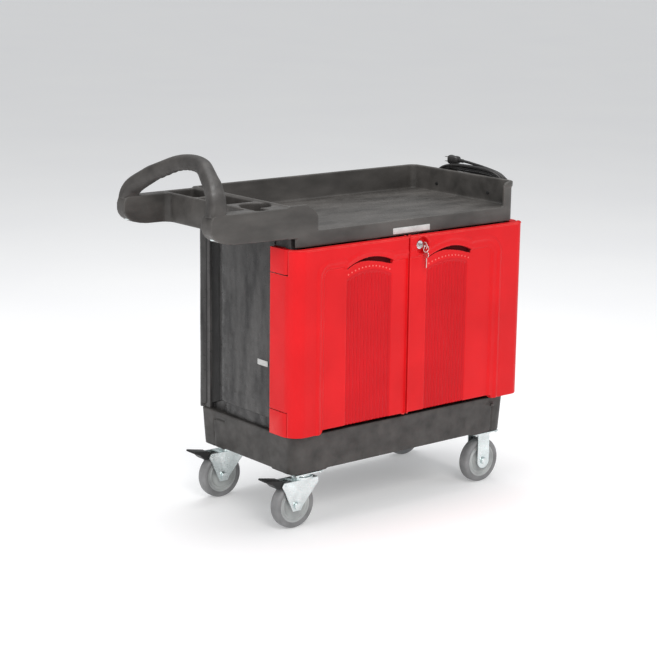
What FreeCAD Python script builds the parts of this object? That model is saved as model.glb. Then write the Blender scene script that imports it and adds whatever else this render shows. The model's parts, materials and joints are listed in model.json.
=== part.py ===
import FreeCAD, Part
import math
import os
import Sketcher

# Two-door housekeeping cart.  +Z is up, +X runs from the push handle to the far end,
# the doors face -Y.  The origin is on the floor, under the middle of the cart.
# All sizes are millimetres.

os.makedirs("parts", exist_ok=True)
doc = FreeCAD.newDocument("housekeeping_cart")
sheet = doc.addObject("Spreadsheet::Sheet", "Sizes")

SIZES = {
    # lower shelf
    "base_left": -283.6, "base_front": -186.25, "base_length": 768, "base_depth": 402,
    "skirt_low": 150, "deck_high": 254, "base_round": 26,
    "rear_round": 8, "skin": 6,
    # top tray
    "tray_low": 755, "tray_floor": 796, "tray_top": 866, "tray_wall": 8,
    "front_over": 5, "rear_over": 17.5, "right_over": 7.5, "return_len": 40, "raise_len": 76,
    # console and its two arms
    "console_out": 255, "console_low": 786, "console_top": 862, "scoop_out": 120,
    "console_in": 20, "arm_wide": 42, "bin_floor": 806, "cup_thick": 40, "arm_top": 857,
    "bolt_sunk": 18,
    # handle arch
    "foot_out": 240, "foot_inset": 17, "arch_rise": 106, "arch_lean": 73, "arch_tube": 21,
    # cabinet panels
    "panel_thick": 6, "panel_foot": 288, "panel_in": 5, "post_wide": 26,
    # doors
    "door_face": 23, "door_side": 16, "door_round": 42, "door_skin": 8, "door_low": 268,
    "door_drop": 10, "door_high": 752, "door_gap": 4, "leg_end": 78, "column_wide": 79,
    "block_tall": 65, "pin_back": 68, "pin_inset": 7, "pin_thick": 4, "run_gap": 0.06,
    # lock
    "lock_in": 45.5, "lock_up": 724, "recess_wide": 22, "recess_deep": 15, "barrel": 9.5,
    "plug_thick": 6.5,
    # casters
    "wheel_thick": 63.5, "wheel_half": 15.6, "hub_thick": 47, "axle_thick": 6,
    "kingpin_in": 62, "trail": 33, "rigid_in": 705, "wheel_inset": 37, "plate_high": 150,
    "plate_thick": 3.2, "plate_long": 92, "plate_wide": 66, "fork_wall": 3, "fork_gap": 19,
    # power outlet, cord and hooks
    "hook_high": 821, "hook_near": 96, "hook_apart": 213, "box_low": 560, "box_long": 150,
    "box_tall": 70, "box_deep": 34, "cord_thick": 8, "coil_half_long": 150,
    "coil_half_tall": 60, "coil_bundle": 24, "coil_near": 195, "coil_high": 826,
    "coil_deep": 42, "coil_off": 9,
}


COIL_BLUNTNESS = 0.4


class Dim:
    """A length that knows both its value and the spreadsheet formula behind it."""

    def __init__(self, value, text):
        self.value = float(value)
        self.text = text

    @staticmethod
    def of(other):
        if isinstance(other, Dim):
            return other
        return Dim(other, repr(float(other)))

    def __add__(self, other):
        other = Dim.of(other)
        return Dim(self.value + other.value, f"({self.text} + {other.text})")

    def __sub__(self, other):
        other = Dim.of(other)
        return Dim(self.value - other.value, f"({self.text} - {other.text})")

    def __mul__(self, other):
        other = Dim.of(other)
        return Dim(self.value * other.value, f"({self.text} * {other.text})")

    def __truediv__(self, other):
        other = Dim.of(other)
        return Dim(self.value / other.value, f"({self.text} / {other.text})")

    def __radd__(self, other):
        return Dim.of(other) + self

    def __rsub__(self, other):
        return Dim.of(other) - self

    def __rmul__(self, other):
        return Dim.of(other) * self

    def __neg__(self):
        return Dim(-self.value, f"(-1 * {self.text})")


def fill_sheet():
    for row, (alias, value) in enumerate(SIZES.items(), start=1):
        sheet.set(f"A{row}", alias)
        sheet.set(f"B{row}", str(value))
        sheet.setAlias(f"B{row}", alias)
    doc.recompute()


fill_sheet()


class Sizes:
    """Dot access to the spreadsheet: D.base_length is a Dim bound to that cell."""

    def __getattr__(self, alias):
        return Dim(sheet.get(alias), f"Sizes.{alias}")


D = Sizes()
NODES = []
PLANES = {"XY": "XY_Plane", "XZ": "XZ_Plane", "YZ": "YZ_Plane"}


def node(item, label):
    """Register a finished sub-part under the name that its file takes."""
    item.Label = label
    NODES.append(item)
    return item


def bind(item, prop, dim):
    dim = Dim.of(dim)
    item.setExpression(prop, dim.text)


def place(item, at, axis=(0, 0, 1), degrees=0):
    item.Placement = FreeCAD.Placement(
        FreeCAD.Vector(*[Dim.of(v).value for v in at]),
        FreeCAD.Rotation(FreeCAD.Vector(*axis), degrees))
    for name, value in zip("xyz", at):
        if isinstance(value, Dim):
            bind(item, f"Placement.Base.{name}", value)


def box(size, at, name="Box"):
    item = doc.addObject("Part::Box", name)
    for prop, value in zip(("Length", "Width", "Height"), size):
        setattr(item, prop, Dim.of(value).value)
        bind(item, prop, value)
    place(item, at)
    return item


def span(low, high, name="Box"):
    """A box from its lowest to its highest corner."""
    return box([Dim.of(b) - Dim.of(a) for a, b in zip(low, high)], low, name)


AXIS_TURN = {"X": ((0, 1, 0), 90), "Y": ((1, 0, 0), -90), "Z": ((0, 0, 1), 0)}


def cylinder(radius, length, at, along="Z", name="Cylinder"):
    item = doc.addObject("Part::Cylinder", name)
    item.Radius = Dim.of(radius).value
    item.Height = Dim.of(length).value
    bind(item, "Radius", radius)
    bind(item, "Height", length)
    place(item, at, *AXIS_TURN[along])
    return item


def cut(base, tools, name="Cut"):
    for tool in tools:
        item = doc.addObject("Part::Cut", name)
        item.Base = base
        item.Tool = tool
        base = item
    doc.recompute()
    return base


def fuse(parts, name="Fuse"):
    if len(parts) == 1:
        return parts[0]
    item = doc.addObject("Part::MultiFuse", name)
    item.Shapes = parts
    item.Refine = True
    doc.recompute()
    return item


def group(parts, name="Group"):
    """Separate solids that share one node."""
    item = doc.addObject("Part::Compound", name)
    item.Links = parts
    doc.recompute()
    return item


def rounded(base, radius, wanted, name="Rounded"):
    """Fillet the edges of a Part object that the test picks."""
    doc.recompute()
    picked = [(i + 1, radius.value, radius.value)
              for i, edge in enumerate(base.Shape.Edges) if wanted(edge)]
    item = doc.addObject("Part::Fillet", name)
    item.Base = base
    item.Edges = picked
    doc.recompute()
    return item


def upright(edge):
    """True for a straight vertical edge."""
    if len(edge.Vertexes) != 2 or not isinstance(edge.Curve, Part.Line):
        return False
    a, b = (v.Point for v in edge.Vertexes)
    return abs(a.x - b.x) < 1e-4 and abs(a.y - b.y) < 1e-4


def new_body(label):
    body = doc.addObject("PartDesign::Body", label)
    return node(body, label)


def sketch_on(body, plane, name="Sketch"):
    sketch = body.newObject("Sketcher::SketchObject", name)
    origin = [f for f in body.Origin.OriginFeatures if f.Role == PLANES[plane]][0]
    sketch.AttachmentSupport = [(origin, "")]
    sketch.MapMode = "FlatFace"
    return sketch


def pin_vertex(sketch, geo, pos, point):
    """Hold one vertex at a place that comes from the spreadsheet."""
    for kind, value in zip(("DistanceX", "DistanceY"), point):
        value = Dim.of(value)
        index = sketch.addConstraint(
            Sketcher.Constraint(kind, -1, 1, geo, pos, value.value))
        if "Sizes" in value.text:
            sketch.setExpression(f"Constraints[{index}]", value.text)


def polygon(sketch, points):
    """A closed outline of straight lines through points bound to the spreadsheet."""
    flat = [FreeCAD.Vector(Dim.of(x).value, Dim.of(y).value, 0) for x, y in points]
    count = len(points)
    for i in range(count):
        sketch.addGeometry(Part.LineSegment(flat[i], flat[(i + 1) % count]), False)
    for i in range(count):
        sketch.addConstraint(Sketcher.Constraint("Coincident", i, 2, (i + 1) % count, 1))
    for i in range(count):
        pin_vertex(sketch, i, 1, points[i])


def circle(sketch, centre, radius):
    radius = Dim.of(radius)
    where = FreeCAD.Vector(Dim.of(centre[0]).value, Dim.of(centre[1]).value, 0)
    geo = sketch.addGeometry(
        Part.Circle(where, FreeCAD.Vector(0, 0, 1), radius.value), False)
    pin_vertex(sketch, geo, 3, centre)
    index = sketch.addConstraint(Sketcher.Constraint("Radius", geo, radius.value))
    if "Sizes" in radius.text:
        sketch.setExpression(f"Constraints[{index}]", radius.text)


def feature(body, kind, sketch, length=None, back=False, name="Feature"):
    item = body.newObject(kind, name)
    item.Profile = sketch
    if length is not None:
        length = Dim.of(length)
        item.Length = length.value
        bind(item, "Length", length)
        item.Reversed = back
    sketch.Visibility = False
    doc.recompute()
    return item


def turned(body, plane, points, axis):
    """A solid of revolution of one outline about a sketch axis."""
    sketch = sketch_on(body, plane)
    polygon(sketch, points)
    doc.recompute()
    item = body.newObject("PartDesign::Revolution", "Revolution")
    item.Profile = sketch
    item.ReferenceAxis = (sketch, [axis])
    item.Angle = 360.0
    doc.recompute()
    return item


# Places that several sub-parts share.
base_right = D.base_left + D.base_length
base_rear = D.base_front + D.base_depth
tray_front = D.base_front - D.front_over
tray_rear = base_rear + D.rear_over
tray_right = base_right + D.right_over
middle_x = D.base_left + D.base_length / 2
middle_y = D.base_front + D.base_depth / 2
door_y = D.base_front - D.door_face


def base_shelf():
    """Moulded deck with a deep skirt, hollow underneath, with four caster bosses."""
    body = new_body("base_shelf")
    outline = sketch_on(body, "XY")
    polygon(outline, [(D.base_left, D.base_front), (base_right, D.base_front),
                      (base_right, base_rear), (D.base_left, base_rear)])
    outline.AttachmentOffset.Base.z = D.deck_high.value
    bind(outline, "AttachmentOffset.Base.z", D.deck_high)
    block = feature(body, "PartDesign::Pad", outline, D.deck_high - D.skirt_low, back=True)
    block.TaperAngle = -3
    doc.recompute()
    for name, radius, front in (("FrontCorners", D.base_round, True),
                                ("RearCorners", D.rear_round, False)):
        near_up = [f"Edge{i + 1}" for i, e in enumerate(block.Shape.Edges)
                   if e.BoundBox.ZLength > 90 and e.BoundBox.XLength < 20
                   and (e.BoundBox.Center.y < middle_y.value) == front]
        corners = body.newObject("PartDesign::Fillet", name)
        corners.Base = (block, near_up)
        corners.Radius = radius.value
        bind(corners, "Radius", radius)
        doc.recompute()
        block = corners
    hollow = sketch_on(body, "XY", "Hollow")
    rim = D.skin + 7
    polygon(hollow, [(D.base_left + rim, D.base_front + rim),
                     (base_right - rim, D.base_front + rim),
                     (base_right - rim, base_rear - rim),
                     (D.base_left + rim, base_rear - rim)])
    bind(hollow, "AttachmentOffset.Base.z", D.skirt_low)
    feature(body, "PartDesign::Pocket", hollow, D.deck_high - D.skirt_low - 14, back=True)
    tray = sketch_on(body, "XY", "DeckRecess")
    lip = D.skin + 40
    polygon(tray, [(D.base_left + lip, D.base_front + lip), (base_right - lip, D.base_front + lip),
                   (base_right - lip, base_rear - lip), (D.base_left + lip, base_rear - lip)])
    bind(tray, "AttachmentOffset.Base.z", D.deck_high)
    feature(body, "PartDesign::Pocket", tray, 6)
    for x in (D.base_left + D.kingpin_in, D.base_left + D.rigid_in):
        for y in (D.base_front + D.wheel_inset, base_rear - D.wheel_inset):
            pads = sketch_on(body, "XY", "CasterBoss")
            half_x = D.plate_long / 2 - 1
            half_y = (D.plate_wide - 14) / 2 - 1
            polygon(pads, [(x - half_x, y - half_y), (x + half_x, y - half_y),
                           (x + half_x, y + half_y), (x - half_x, y + half_y)])
            bind(pads, "AttachmentOffset.Base.z", D.plate_high)
            feature(body, "PartDesign::Pad", pads, D.deck_high - D.plate_high - 10)
    ribs = sketch_on(body, "XY", "Ribs")
    for n in (-1, 1):
        x = middle_x + D.base_length * (n * 0.17)
        add_rectangle(ribs, x - 3, D.base_front + 12, x + 3, base_rear - 12)
    bind(ribs, "AttachmentOffset.Base.z", D.skirt_low + 30)
    feature(body, "PartDesign::Pad", ribs, D.deck_high - D.skirt_low - 38)
    return body


def add_rectangle(sketch, x1, y1, x2, y2):
    start = sketch.GeometryCount
    corners = [(x1, y1), (x2, y1), (x2, y2), (x1, y2)]
    flat = [FreeCAD.Vector(Dim.of(x).value, Dim.of(y).value, 0) for x, y in corners]
    for i in range(4):
        sketch.addGeometry(Part.LineSegment(flat[i], flat[(i + 1) % 4]), False)
    for i in range(4):
        sketch.addConstraint(
            Sketcher.Constraint("Coincident", start + i, 2, start + (i + 1) % 4, 1))
    for i in range(4):
        pin_vertex(sketch, start + i, 1, corners[i])


def top_tray():
    """Tray with a high rear and far wall, a low front, and the console with its arms."""
    arm_end = D.base_left - D.console_out
    scoop = D.base_left - D.scoop_out
    wall = D.tray_wall
    shell = rounded(span((D.base_left - D.console_in, tray_front, D.tray_low),
                         (tray_right, tray_rear, D.tray_top)), D.base_round, upright)
    console = span((scoop, tray_front, D.console_low),
                   (D.base_left + 12, tray_rear, D.console_top))
    arm_low = D.console_low + 2
    near_arm = rounded(span((arm_end, tray_front, arm_low),
                            (scoop + 20, tray_front + D.arm_wide, D.arm_top)),
                       D.arm_wide / 3, lambda e: upright(e) and e.BoundBox.XMin < arm_end.value + 1)
    far_arm = rounded(span((arm_end, tray_rear - D.arm_wide, arm_low),
                           (scoop + 20, tray_rear, D.arm_top)),
                      D.arm_wide / 3, lambda e: upright(e) and e.BoundBox.XMin < arm_end.value + 1)
    block = fuse([shell, console, near_arm, far_arm])
    under = [
        # room below the tray floor for the cabinet panels, and below the console
        span((D.base_left + 49, tray_front + wall, D.tray_low - 1),
             (tray_right - wall, tray_rear - wall, D.tray_floor - wall)),
        span((D.base_left - D.console_in - 1, tray_front + 80, D.tray_low - 1),
             (D.base_left + 49.5, tray_rear + 1, D.console_low)),
        span((D.base_left - D.console_in - 1, tray_front - 1, D.tray_low - 1),
             (D.base_left - 2.5, tray_front + 81, D.console_low)),
        span((D.base_left + D.panel_in - 0.4, tray_front + wall, D.tray_low - 1),
             (D.base_left + 49.5, tray_front + 81, D.console_low)),
        span((D.base_left - 8, tray_front + wall, D.console_low - 1),
             (D.base_left + 50, tray_rear - wall, D.tray_floor - wall)),
    ]
    recess = rounded(span((D.base_left - D.console_in + 6, tray_front + wall, D.tray_floor),
                          (tray_right - wall, tray_rear - wall, D.tray_top + 5)),
                     D.base_round - wall, upright)
    open_front = span((D.base_left + D.raise_len, tray_front - 1, D.tray_floor),
                      (tray_right - D.return_len, tray_front + 60, D.tray_top + 5))
    inner = D.base_left - D.console_in - 5
    bins = [
        cylinder(D.cup_thick, 70, (*cup_place(), D.bin_floor), name="CupHole"),
        span((scoop + 8, tray_front + 9, D.bin_floor),
             (scoop + 44, cup_place()[1], D.console_top + 5), "MugHandleNotch"),
        span((scoop + 9, tray_front + 140, D.bin_floor),
             (inner, tray_front + 272, D.console_top + 5), "MiddleBin"),
        span((scoop + 9, tray_front + 280, D.bin_floor),
             (inner, tray_rear - 9, D.console_top + 5), "RearBin"),
    ]
    bolt_holes = [cylinder(radius, deep, (D.base_left - D.foot_out + 2, y, D.console_low - 5))
                  for y in foot_places() for radius, deep in ((4.2, 90), (9, 5 + D.bolt_sunk))]
    screw_holes = [cylinder(2.6, 30, (tray_right - 20, y, D.hook_high), "X")
                   for y in hook_places()]
    tray = cut(block, under + [recess, open_front] + bins + bolt_holes + screw_holes)
    return node(tray, "top_tray")


def cup_place():
    """Centre of the round mug hole in plan."""
    return (D.base_left - 62, tray_front + 87)


def hook_places():
    """Where the two cord hooks are, along Y."""
    return (D.base_front + D.hook_near, D.base_front + D.hook_near + D.hook_apart)


def foot_places():
    """Where the two feet of the handle stand, along Y."""
    return (tray_front + D.foot_inset + 4, tray_rear - D.foot_inset - 4)


def push_handle():
    """Arch over the console: ellipses lofted along a leaning, flat-topped curve."""
    near, far = (f.value for f in foot_places())
    centre = (near + far) / 2
    half = (far - near) / 2
    foot_x = (D.base_left - D.foot_out).value
    tube = D.arch_tube.value
    rise = D.arch_rise.value
    lean = D.arch_lean.value
    # fraction of the half span, fraction of the rise, from the foot to the crown
    profile = [(1.0, 0.0), (0.965, 0.19), (0.895, 0.37), (0.79, 0.52), (0.67, 0.63),
               (0.55, 0.73), (0.43, 0.82), (0.31, 0.90), (0.16, 0.97), (0.0, 1.0)]
    half_points = [(-half * u, rise * v) for u, v in profile]
    points = half_points + [(-y, z) for y, z in reversed(half_points[:-1])]
    centres = [FreeCAD.Vector(foot_x + lean * (0.5 * z / rise + 0.5 * (z / rise) ** 2),
                              centre + y, D.arm_top.value + z) for y, z in points]
    wires = []
    for i, here in enumerate(centres):
        before = centres[max(i - 1, 0)]
        after = centres[min(i + 1, len(centres) - 1)]
        along = (after - before).normalize()
        if i in (0, len(centres) - 1):
            along = FreeCAD.Vector(0, 0, 1 if i == 0 else -1)
        across = FreeCAD.Vector(1, 0, 0)
        across = (across - along * across.dot(along)).normalize()
        foot = 1 - min(abs(points[i][1]) / (0.6 * rise), 1)
        wide = tube * (1 + 0.25 * foot)
        deep = tube * (1 - 0.12 * foot)
        ellipse = Part.Ellipse(here, wide, deep)
        wire = Part.Wire([ellipse.toShape()])
        wire.translate(-here)
        turn = FreeCAD.Matrix(across.x, along.cross(across).x, along.x, here.x,
                              across.y, along.cross(across).y, along.y, here.y,
                              across.z, along.cross(across).z, along.z, here.z)
        wire = Part.Wire([e.copy() for e in wire.Edges])
        wire = wire.transformGeometry(turn)
        wires.append(Part.Wire(wire.Edges))
    handle = doc.addObject("Part::Feature", "push_handle")
    handle.Shape = Part.makeLoft(wires, True, False)
    handle.Placement = FreeCAD.Placement()
    return node(handle, "push_handle")


def handle_bolts():
    """One bolt up through each arm into the foot of the handle, its head sunk in the arm."""
    parts = []
    for y in foot_places():
        x = D.base_left - D.foot_out + 2
        seat = D.console_low + D.bolt_sunk
        shank = cylinder(4, D.arm_top - seat, (x, y, seat))
        head = cylinder(8, 5.5, (x, y, seat - 5.5))
        parts.append(fuse([shank, head]))
    return node(group(parts), "handle_bolts")


def end_panel(label, side):
    """End wall: inner plate, proud outer face with a rounded rear, and the rear post."""
    left = side < 0
    edge = D.base_left if left else base_right

    def x_at(inward):
        return edge + inward if left else edge - inward

    def slab(x1, x2, y1, y2, z1, z2):
        a, b = (x_at(x1), x_at(x2)) if left else (x_at(x2), x_at(x1))
        return span((a, y1, z1), (b, y2, z2))

    front = D.base_front
    foot = D.deck_high
    top = D.console_low if left else D.tray_floor - D.tray_wall
    plate = slab(20, 26, front + 20, base_rear - 14, foot, top - 1)
    stile = slab(D.panel_in, 26, front + 20, front + 44, foot, top - 1)
    proud = slab(1, 20.5, front + 84, front + 330, D.panel_foot, top - 1)
    post = slab(1, 26, base_rear - D.post_wide, base_rear - 1, foot, top - 1)
    soft = rounded(proud, Dim.of(16), lambda e: upright(e) and e.BoundBox.YMin > (front + 300).value
                   and abs(e.BoundBox.XMin - edge.value) < 3)
    return node(fuse([plate, stile, soft, post]), label)


def rear_panel():
    """Back sheet with two shallow stiffening ribs."""
    sheet_y = base_rear - 14
    back = span((D.base_left + 26.5, sheet_y, D.deck_high),
                (base_right - 26.5, sheet_y + D.panel_thick, D.tray_floor - D.tray_wall - 1))
    ribs = [span((D.base_left + D.base_length * part - 20, sheet_y + D.panel_thick - 1,
                  D.deck_high + 30),
                 (D.base_left + D.base_length * part + 20, sheet_y + D.panel_thick + 5,
                  D.tray_low - 30)) for part in (0.3, 0.7)]
    return node(fuse([back] + ribs), "rear_panel")


def door(label, side):
    """Door shell that wraps the cabinet corner, with knuckles round the hinge pins."""
    left = side < 0
    body = new_body(label)

    def x_at(inward):
        return D.base_left + inward if left else base_right - inward

    free_edge = D.base_length / 2 - 12 - D.door_gap / 2 if left else (
        D.base_length / 2 + 12 - D.door_gap / 2)
    y_face = door_y
    y_back = D.base_front + D.leg_end
    side_x = -D.door_side
    skin = D.door_skin
    bend = D.door_round
    low = D.door_low - D.door_drop
    tall = D.door_high - low
    outer = [(free_edge, y_face)] + arc_corner(side_x, y_face, bend, 6)
    outer += [(side_x, y_back), (side_x + skin + 5, y_back),
              (side_x + skin + 5, y_back - 21), (side_x + skin, y_back - 26)]
    inner = arc_corner(side_x + skin, y_face + skin, bend - skin, 6)
    inner.reverse()
    outer += inner
    outer += [(free_edge - 9, y_face + skin), (free_edge - 9, y_face + 20),
              (free_edge, y_face + 20)]
    plan = sketch_on(body, "XY", "Plan")
    polygon(plan, [(x_at(x), y) for x, y in outer])
    bind(plan, "AttachmentOffset.Base.z", low)
    feature(body, "PartDesign::Pad", plan, tall)
    # top and bottom flanges close the pan
    for z, thick in ((D.door_high - 8, 8), (D.door_low, 8)):
        lid = sketch_on(body, "XY", "Flange")
        polygon(lid, [(x_at(free_edge - 1), y_face + 1), (x_at(free_edge - 1), y_face + 20),
                      (x_at(bend + 2), y_face + 20), (x_at(bend + 2), y_face + 1)])
        bind(lid, "AttachmentOffset.Base.z", z)
        feature(body, "PartDesign::Pad", lid, thick)
    cuts = sketch_on(body, "XZ", "FrontCuts")
    # raised bottom edge between the hinge column and the meeting edge
    add_rectangle(cuts, x_at(D.column_wide), low - 1, x_at(free_edge + 2), D.door_low)
    bind(cuts, "AttachmentOffset.Base.z", -y_face - 60)
    trim = feature(body, "PartDesign::Pocket", cuts, 200)
    trim.Midplane = True
    # notches for the fixed hinge blocks
    for z1, z2 in ((low - 1, low + D.block_tall + 1.5),
                   (D.door_high - D.block_tall - 1.5, D.door_high + 1)):
        notch = sketch_on(body, "XY", "Notch")
        polygon(notch, [(x_at(side_x - 2), D.base_front + 0.5),
                        (x_at(side_x + 12), D.base_front + 0.5),
                        (x_at(side_x + 14.5), D.base_front + 6),
                        (x_at(side_x + 14.5), y_back + 2),
                        (x_at(side_x - 2), y_back + 2)])
        bind(notch, "AttachmentOffset.Base.z", z1)
        feature(body, "PartDesign::Pocket", notch, z2 - z1, back=True)
    bore = sketch_on(body, "XY", "PinBore")
    circle(bore, pin_place(side), D.pin_thick + D.run_gap)
    bind(bore, "AttachmentOffset.Base.z", low)
    feature(body, "PartDesign::Pocket", bore, tall, back=True)
    pull = sketch_on(body, "XZ", "FingerPull")
    polygon(pull, [(D.base_left + s, D.lock_up + dz) for s, dz in slot_outline(left)])
    bind(pull, "AttachmentOffset.Base.z", -y_face - 7)
    feature(body, "PartDesign::Pocket", pull, 30).Midplane = True
    if not left:
        lock_x = D.base_left + D.base_length / 2 + 33.5
        well = sketch_on(body, "XZ", "LockBoss")
        circle(well, (lock_x, D.lock_up), D.recess_wide + 4)
        bind(well, "AttachmentOffset.Base.z", -y_face - D.recess_deep - 4)
        feature(body, "PartDesign::Pad", well, D.recess_deep + 3.5)
        dish = sketch_on(body, "XZ", "LockRecess")
        circle(dish, (lock_x, D.lock_up), D.recess_wide)
        bind(dish, "AttachmentOffset.Base.z", -y_face - D.recess_deep)
        feature(body, "PartDesign::Pocket", dish, D.recess_deep + 5, back=True)
        hole = sketch_on(body, "XZ", "LockHole")
        circle(hole, (lock_x, D.lock_up), D.barrel)
        bind(hole, "AttachmentOffset.Base.z", -y_face - D.recess_deep - 10)
        feature(body, "PartDesign::Pocket", hole, 30, back=True)
    return body


def slot_outline(left):
    """Arched finger pull, low at the hinge-side end, as offsets from the cabinet's left."""
    start = 161 if left else 444
    long = 152
    steps = 12
    upper = []
    lower = []
    for i in range(steps + 1):
        t = i / steps
        rise = -35 + 75.7 * t - 74.2 * t * t
        thick = 3 + 9 * t
        upper.append((start + long * t, rise + 0.5 * thick))
        lower.append((start + long * t, rise - 0.5 * thick))
    return upper + lower[::-1]


def arc_corner(x, y, radius, steps):
    """Points round the outside corner at (x, y), from the face to the side."""
    points = []
    for i in range(steps + 1):
        angle = math.radians(90 * i / steps)
        points.append((x + radius - radius * math.sin(angle),
                       y + radius - radius * math.cos(angle)))
    return points


def pin_place(side):
    inward = -D.door_side + D.pin_inset
    x = D.base_left + inward if side < 0 else base_right - inward
    return (x, D.base_front + D.pin_back)


def hinge_block(label, side, upper):
    """Fixed corner block that carries one hinge pin and continues the door's outline."""
    left = side < 0
    body = new_body(label)

    def x_at(inward):
        return D.base_left + inward if left else base_right - inward

    side_x = -D.door_side
    front = D.base_front + 2
    back = D.base_front + D.leg_end
    low = D.door_low - D.door_drop
    z = D.door_high - D.block_tall if upper else low
    plan = sketch_on(body, "XY", "Plan")
    polygon(plan, [(x_at(side_x + 10), front), (x_at(side_x + 4), front + 7),
                   (x_at(side_x + 1), front + 14), (x_at(side_x), front + 22),
                   (x_at(side_x), back), (x_at(D.panel_in), back),
                   (x_at(D.panel_in), front + 40), (x_at(D.panel_in - 6.5), front + 26),
                   (x_at(D.panel_in - 6.5), front)])
    bind(plan, "AttachmentOffset.Base.z", z)
    feature(body, "PartDesign::Pad", plan, D.block_tall)
    bore = sketch_on(body, "XY", "PinSeat")
    circle(bore, pin_place(side), D.pin_thick)
    bind(bore, "AttachmentOffset.Base.z", z + (0 if upper else D.block_tall - 20))
    feature(body, "PartDesign::Pocket", bore, 20, back=True)
    return body


def hinge_pins(label, side):
    """Two short steel pins, one from each block into the door."""
    low = D.door_low - D.door_drop
    x, y = pin_place(side)
    lower = cylinder(D.pin_thick, 50, (x, y, low + D.block_tall - 20))
    upper = cylinder(D.pin_thick, 50, (x, y, D.door_high - D.block_tall - 30))
    return node(group([lower, upper]), label)


def lock_parts():
    """Cam lock in the recess of the far door, with its keys."""
    x = D.base_left + D.base_length / 2 + 33.5
    z = D.lock_up
    floor = door_y + D.recess_deep
    body = new_body("lock_body")
    turned(body, "XZ", [(D.plug_thick + D.run_gap, -3.5), (11.5, -3.5), (11.5, 0),
                        (D.barrel, 0), (D.barrel, 22), (D.plug_thick + D.run_gap, 22)],
           "V_Axis")
    spin_y(body, (x, floor, z))
    nut = new_body("lock_nut")
    turned(nut, "XZ", [(D.barrel, 4.2), (14, 4.2), (14, 9), (D.barrel, 9)], "V_Axis")
    spin_y(nut, (x, floor, z))
    plug = cylinder(D.plug_thick, 26, (x, floor - 3.7, z), "Y")
    keyway = span((x - 1.1, floor - 5, z - 4.2), (x + 1.1, floor + 16, z + 4.2))
    node(cut(plug, [keyway]), "lock_plug")
    cam = span((x - 8, floor + 22.5, z - 8), (x + 34, floor + 25, z + 8))
    screw = cylinder(3.5, 4, (x, floor + 25, z), "Y")
    node(group([rounded(cam, Dim.of(5), lambda e: abs(e.BoundBox.YLength - 2.5) < 0.01
                        and e.BoundBox.XLength < 0.01), screw]), "lock_cam")
    blade = span((x - 1.0, floor - 13, z - 4), (x + 1.0, floor + 15, z + 4))
    bow = cylinder(11, 2.0, (x - 1.0, floor - 22, z), "X")
    hole = cylinder(2.6, 4, (x - 2, floor - 28.5, z), "X")
    node(cut(fuse([blade, bow]), [hole]), "key_in_lock")
    ring = doc.addObject("Part::Torus", "Ring")
    ring.Radius1 = 9
    ring.Radius2 = 0.9
    place(ring, (x, floor - 28.5, z - 7.6), (1, 0, 0), 90)
    node(ring, "key_ring")
    ring_low = z - 7.6 - 9
    head_y = floor - 28.5
    head = cylinder(10.5, 2.0, (x, head_y - 1, ring_low - 6), "Y")
    shank = span((x - 3.6, head_y - 1, ring_low - 42), (x + 3.6, head_y + 1, ring_low - 14))
    eye = cylinder(2.4, 4, (x, head_y - 2, ring_low), "Y")
    spare = cut(fuse([head, shank]), [eye])
    turn_about(spare, (x.value, head_y.value, ring_low.value), 90)
    node(spare, "spare_key")
    keeper_x = x - 15
    lip = span((keeper_x, floor + 17, z + 18),
               (keeper_x + 30, floor + 20, D.tray_floor - D.tray_wall))
    foot = span((keeper_x, floor + 17, D.tray_floor - D.tray_wall - 3),
                (keeper_x + 30, floor + 46, D.tray_floor - D.tray_wall))
    node(fuse([lip, foot]), "lock_keeper")


def turn_about(item, centre, degrees):
    """Turn a finished piece about the vertical through a point."""
    turn = FreeCAD.Rotation(FreeCAD.Vector(0, 0, 1), degrees)
    middle = FreeCAD.Vector(*centre)
    item.Placement = FreeCAD.Placement(middle - turn.multVec(middle), turn)


def spin_y(body, at):
    """Stand a piece that was turned about Z along +Y instead."""
    place(body, at, (1, 0, 0), -90)


def door_catches():
    """Magnetic catches under the tray front, and the plates on the doors."""
    high = D.tray_floor - D.tray_wall
    face = tray_front + D.tray_wall + 0.3
    bodies = []
    for side, label in ((-1, "catch_plate_left"), (1, "catch_plate_right")):
        x = middle_x - 12 + side * 105
        bodies.append(span((x - 22, face, D.tray_low - 22), (x + 22, face + 13.5, high)))
        plate = span((x - 16, door_y + D.door_skin, D.tray_low - 20),
                     (x + 16, face - 0.5, D.tray_low - 12))
        node(plate, label)
    node(group(bodies), "door_catches")


def wheel(label, x, y):
    """Hub and tyre of one caster wheel."""
    half = D.wheel_half
    bore = D.axle_thick + D.run_gap
    hub = new_body("hub_" + label)
    turned(hub, "XZ", [(bore, -17), (13, -17), (14, -9), (30, -5), (38, -11), (D.hub_thick, -13),
                       (D.hub_thick, 13), (38, 11), (30, 5), (14, 9), (13, 17), (bore, 17)],
           "V_Axis")
    spin_y(hub, (x, y, D.wheel_thick))
    tyre = new_body("tyre_" + label)
    crown = D.wheel_thick
    turned(tyre, "XZ", [(D.hub_thick, -13), (D.hub_thick + 3, -half), (crown - 6, -half),
                        (crown - 1.8, 3 - half), (crown, 7 - half), (crown, half - 7),
                        (crown - 1.8, half - 3), (crown - 6, half), (D.hub_thick + 3, half),
                        (D.hub_thick, 13)], "V_Axis")
    spin_y(tyre, (x, y, D.wheel_thick))


def axle(label, x, y, extra=()):
    """Axle bolt with its head and nut, and any pin on the same fork."""
    out = D.fork_gap + D.fork_wall
    z = D.wheel_thick
    shaft = cylinder(D.axle_thick, out * 2 + 10, (x, y - out, z), "Y")
    head = cylinder(10, 6, (x, y - out - 6, z), "Y")
    nut = cut(cylinder(10, 7, (x, y + out, z), "Y"),
              [cylinder(D.axle_thick, 9, (x, y + out - 1, z), "Y")])
    node(group([fuse([shaft, head]), nut] + list(extra)), "axle_" + label)


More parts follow.
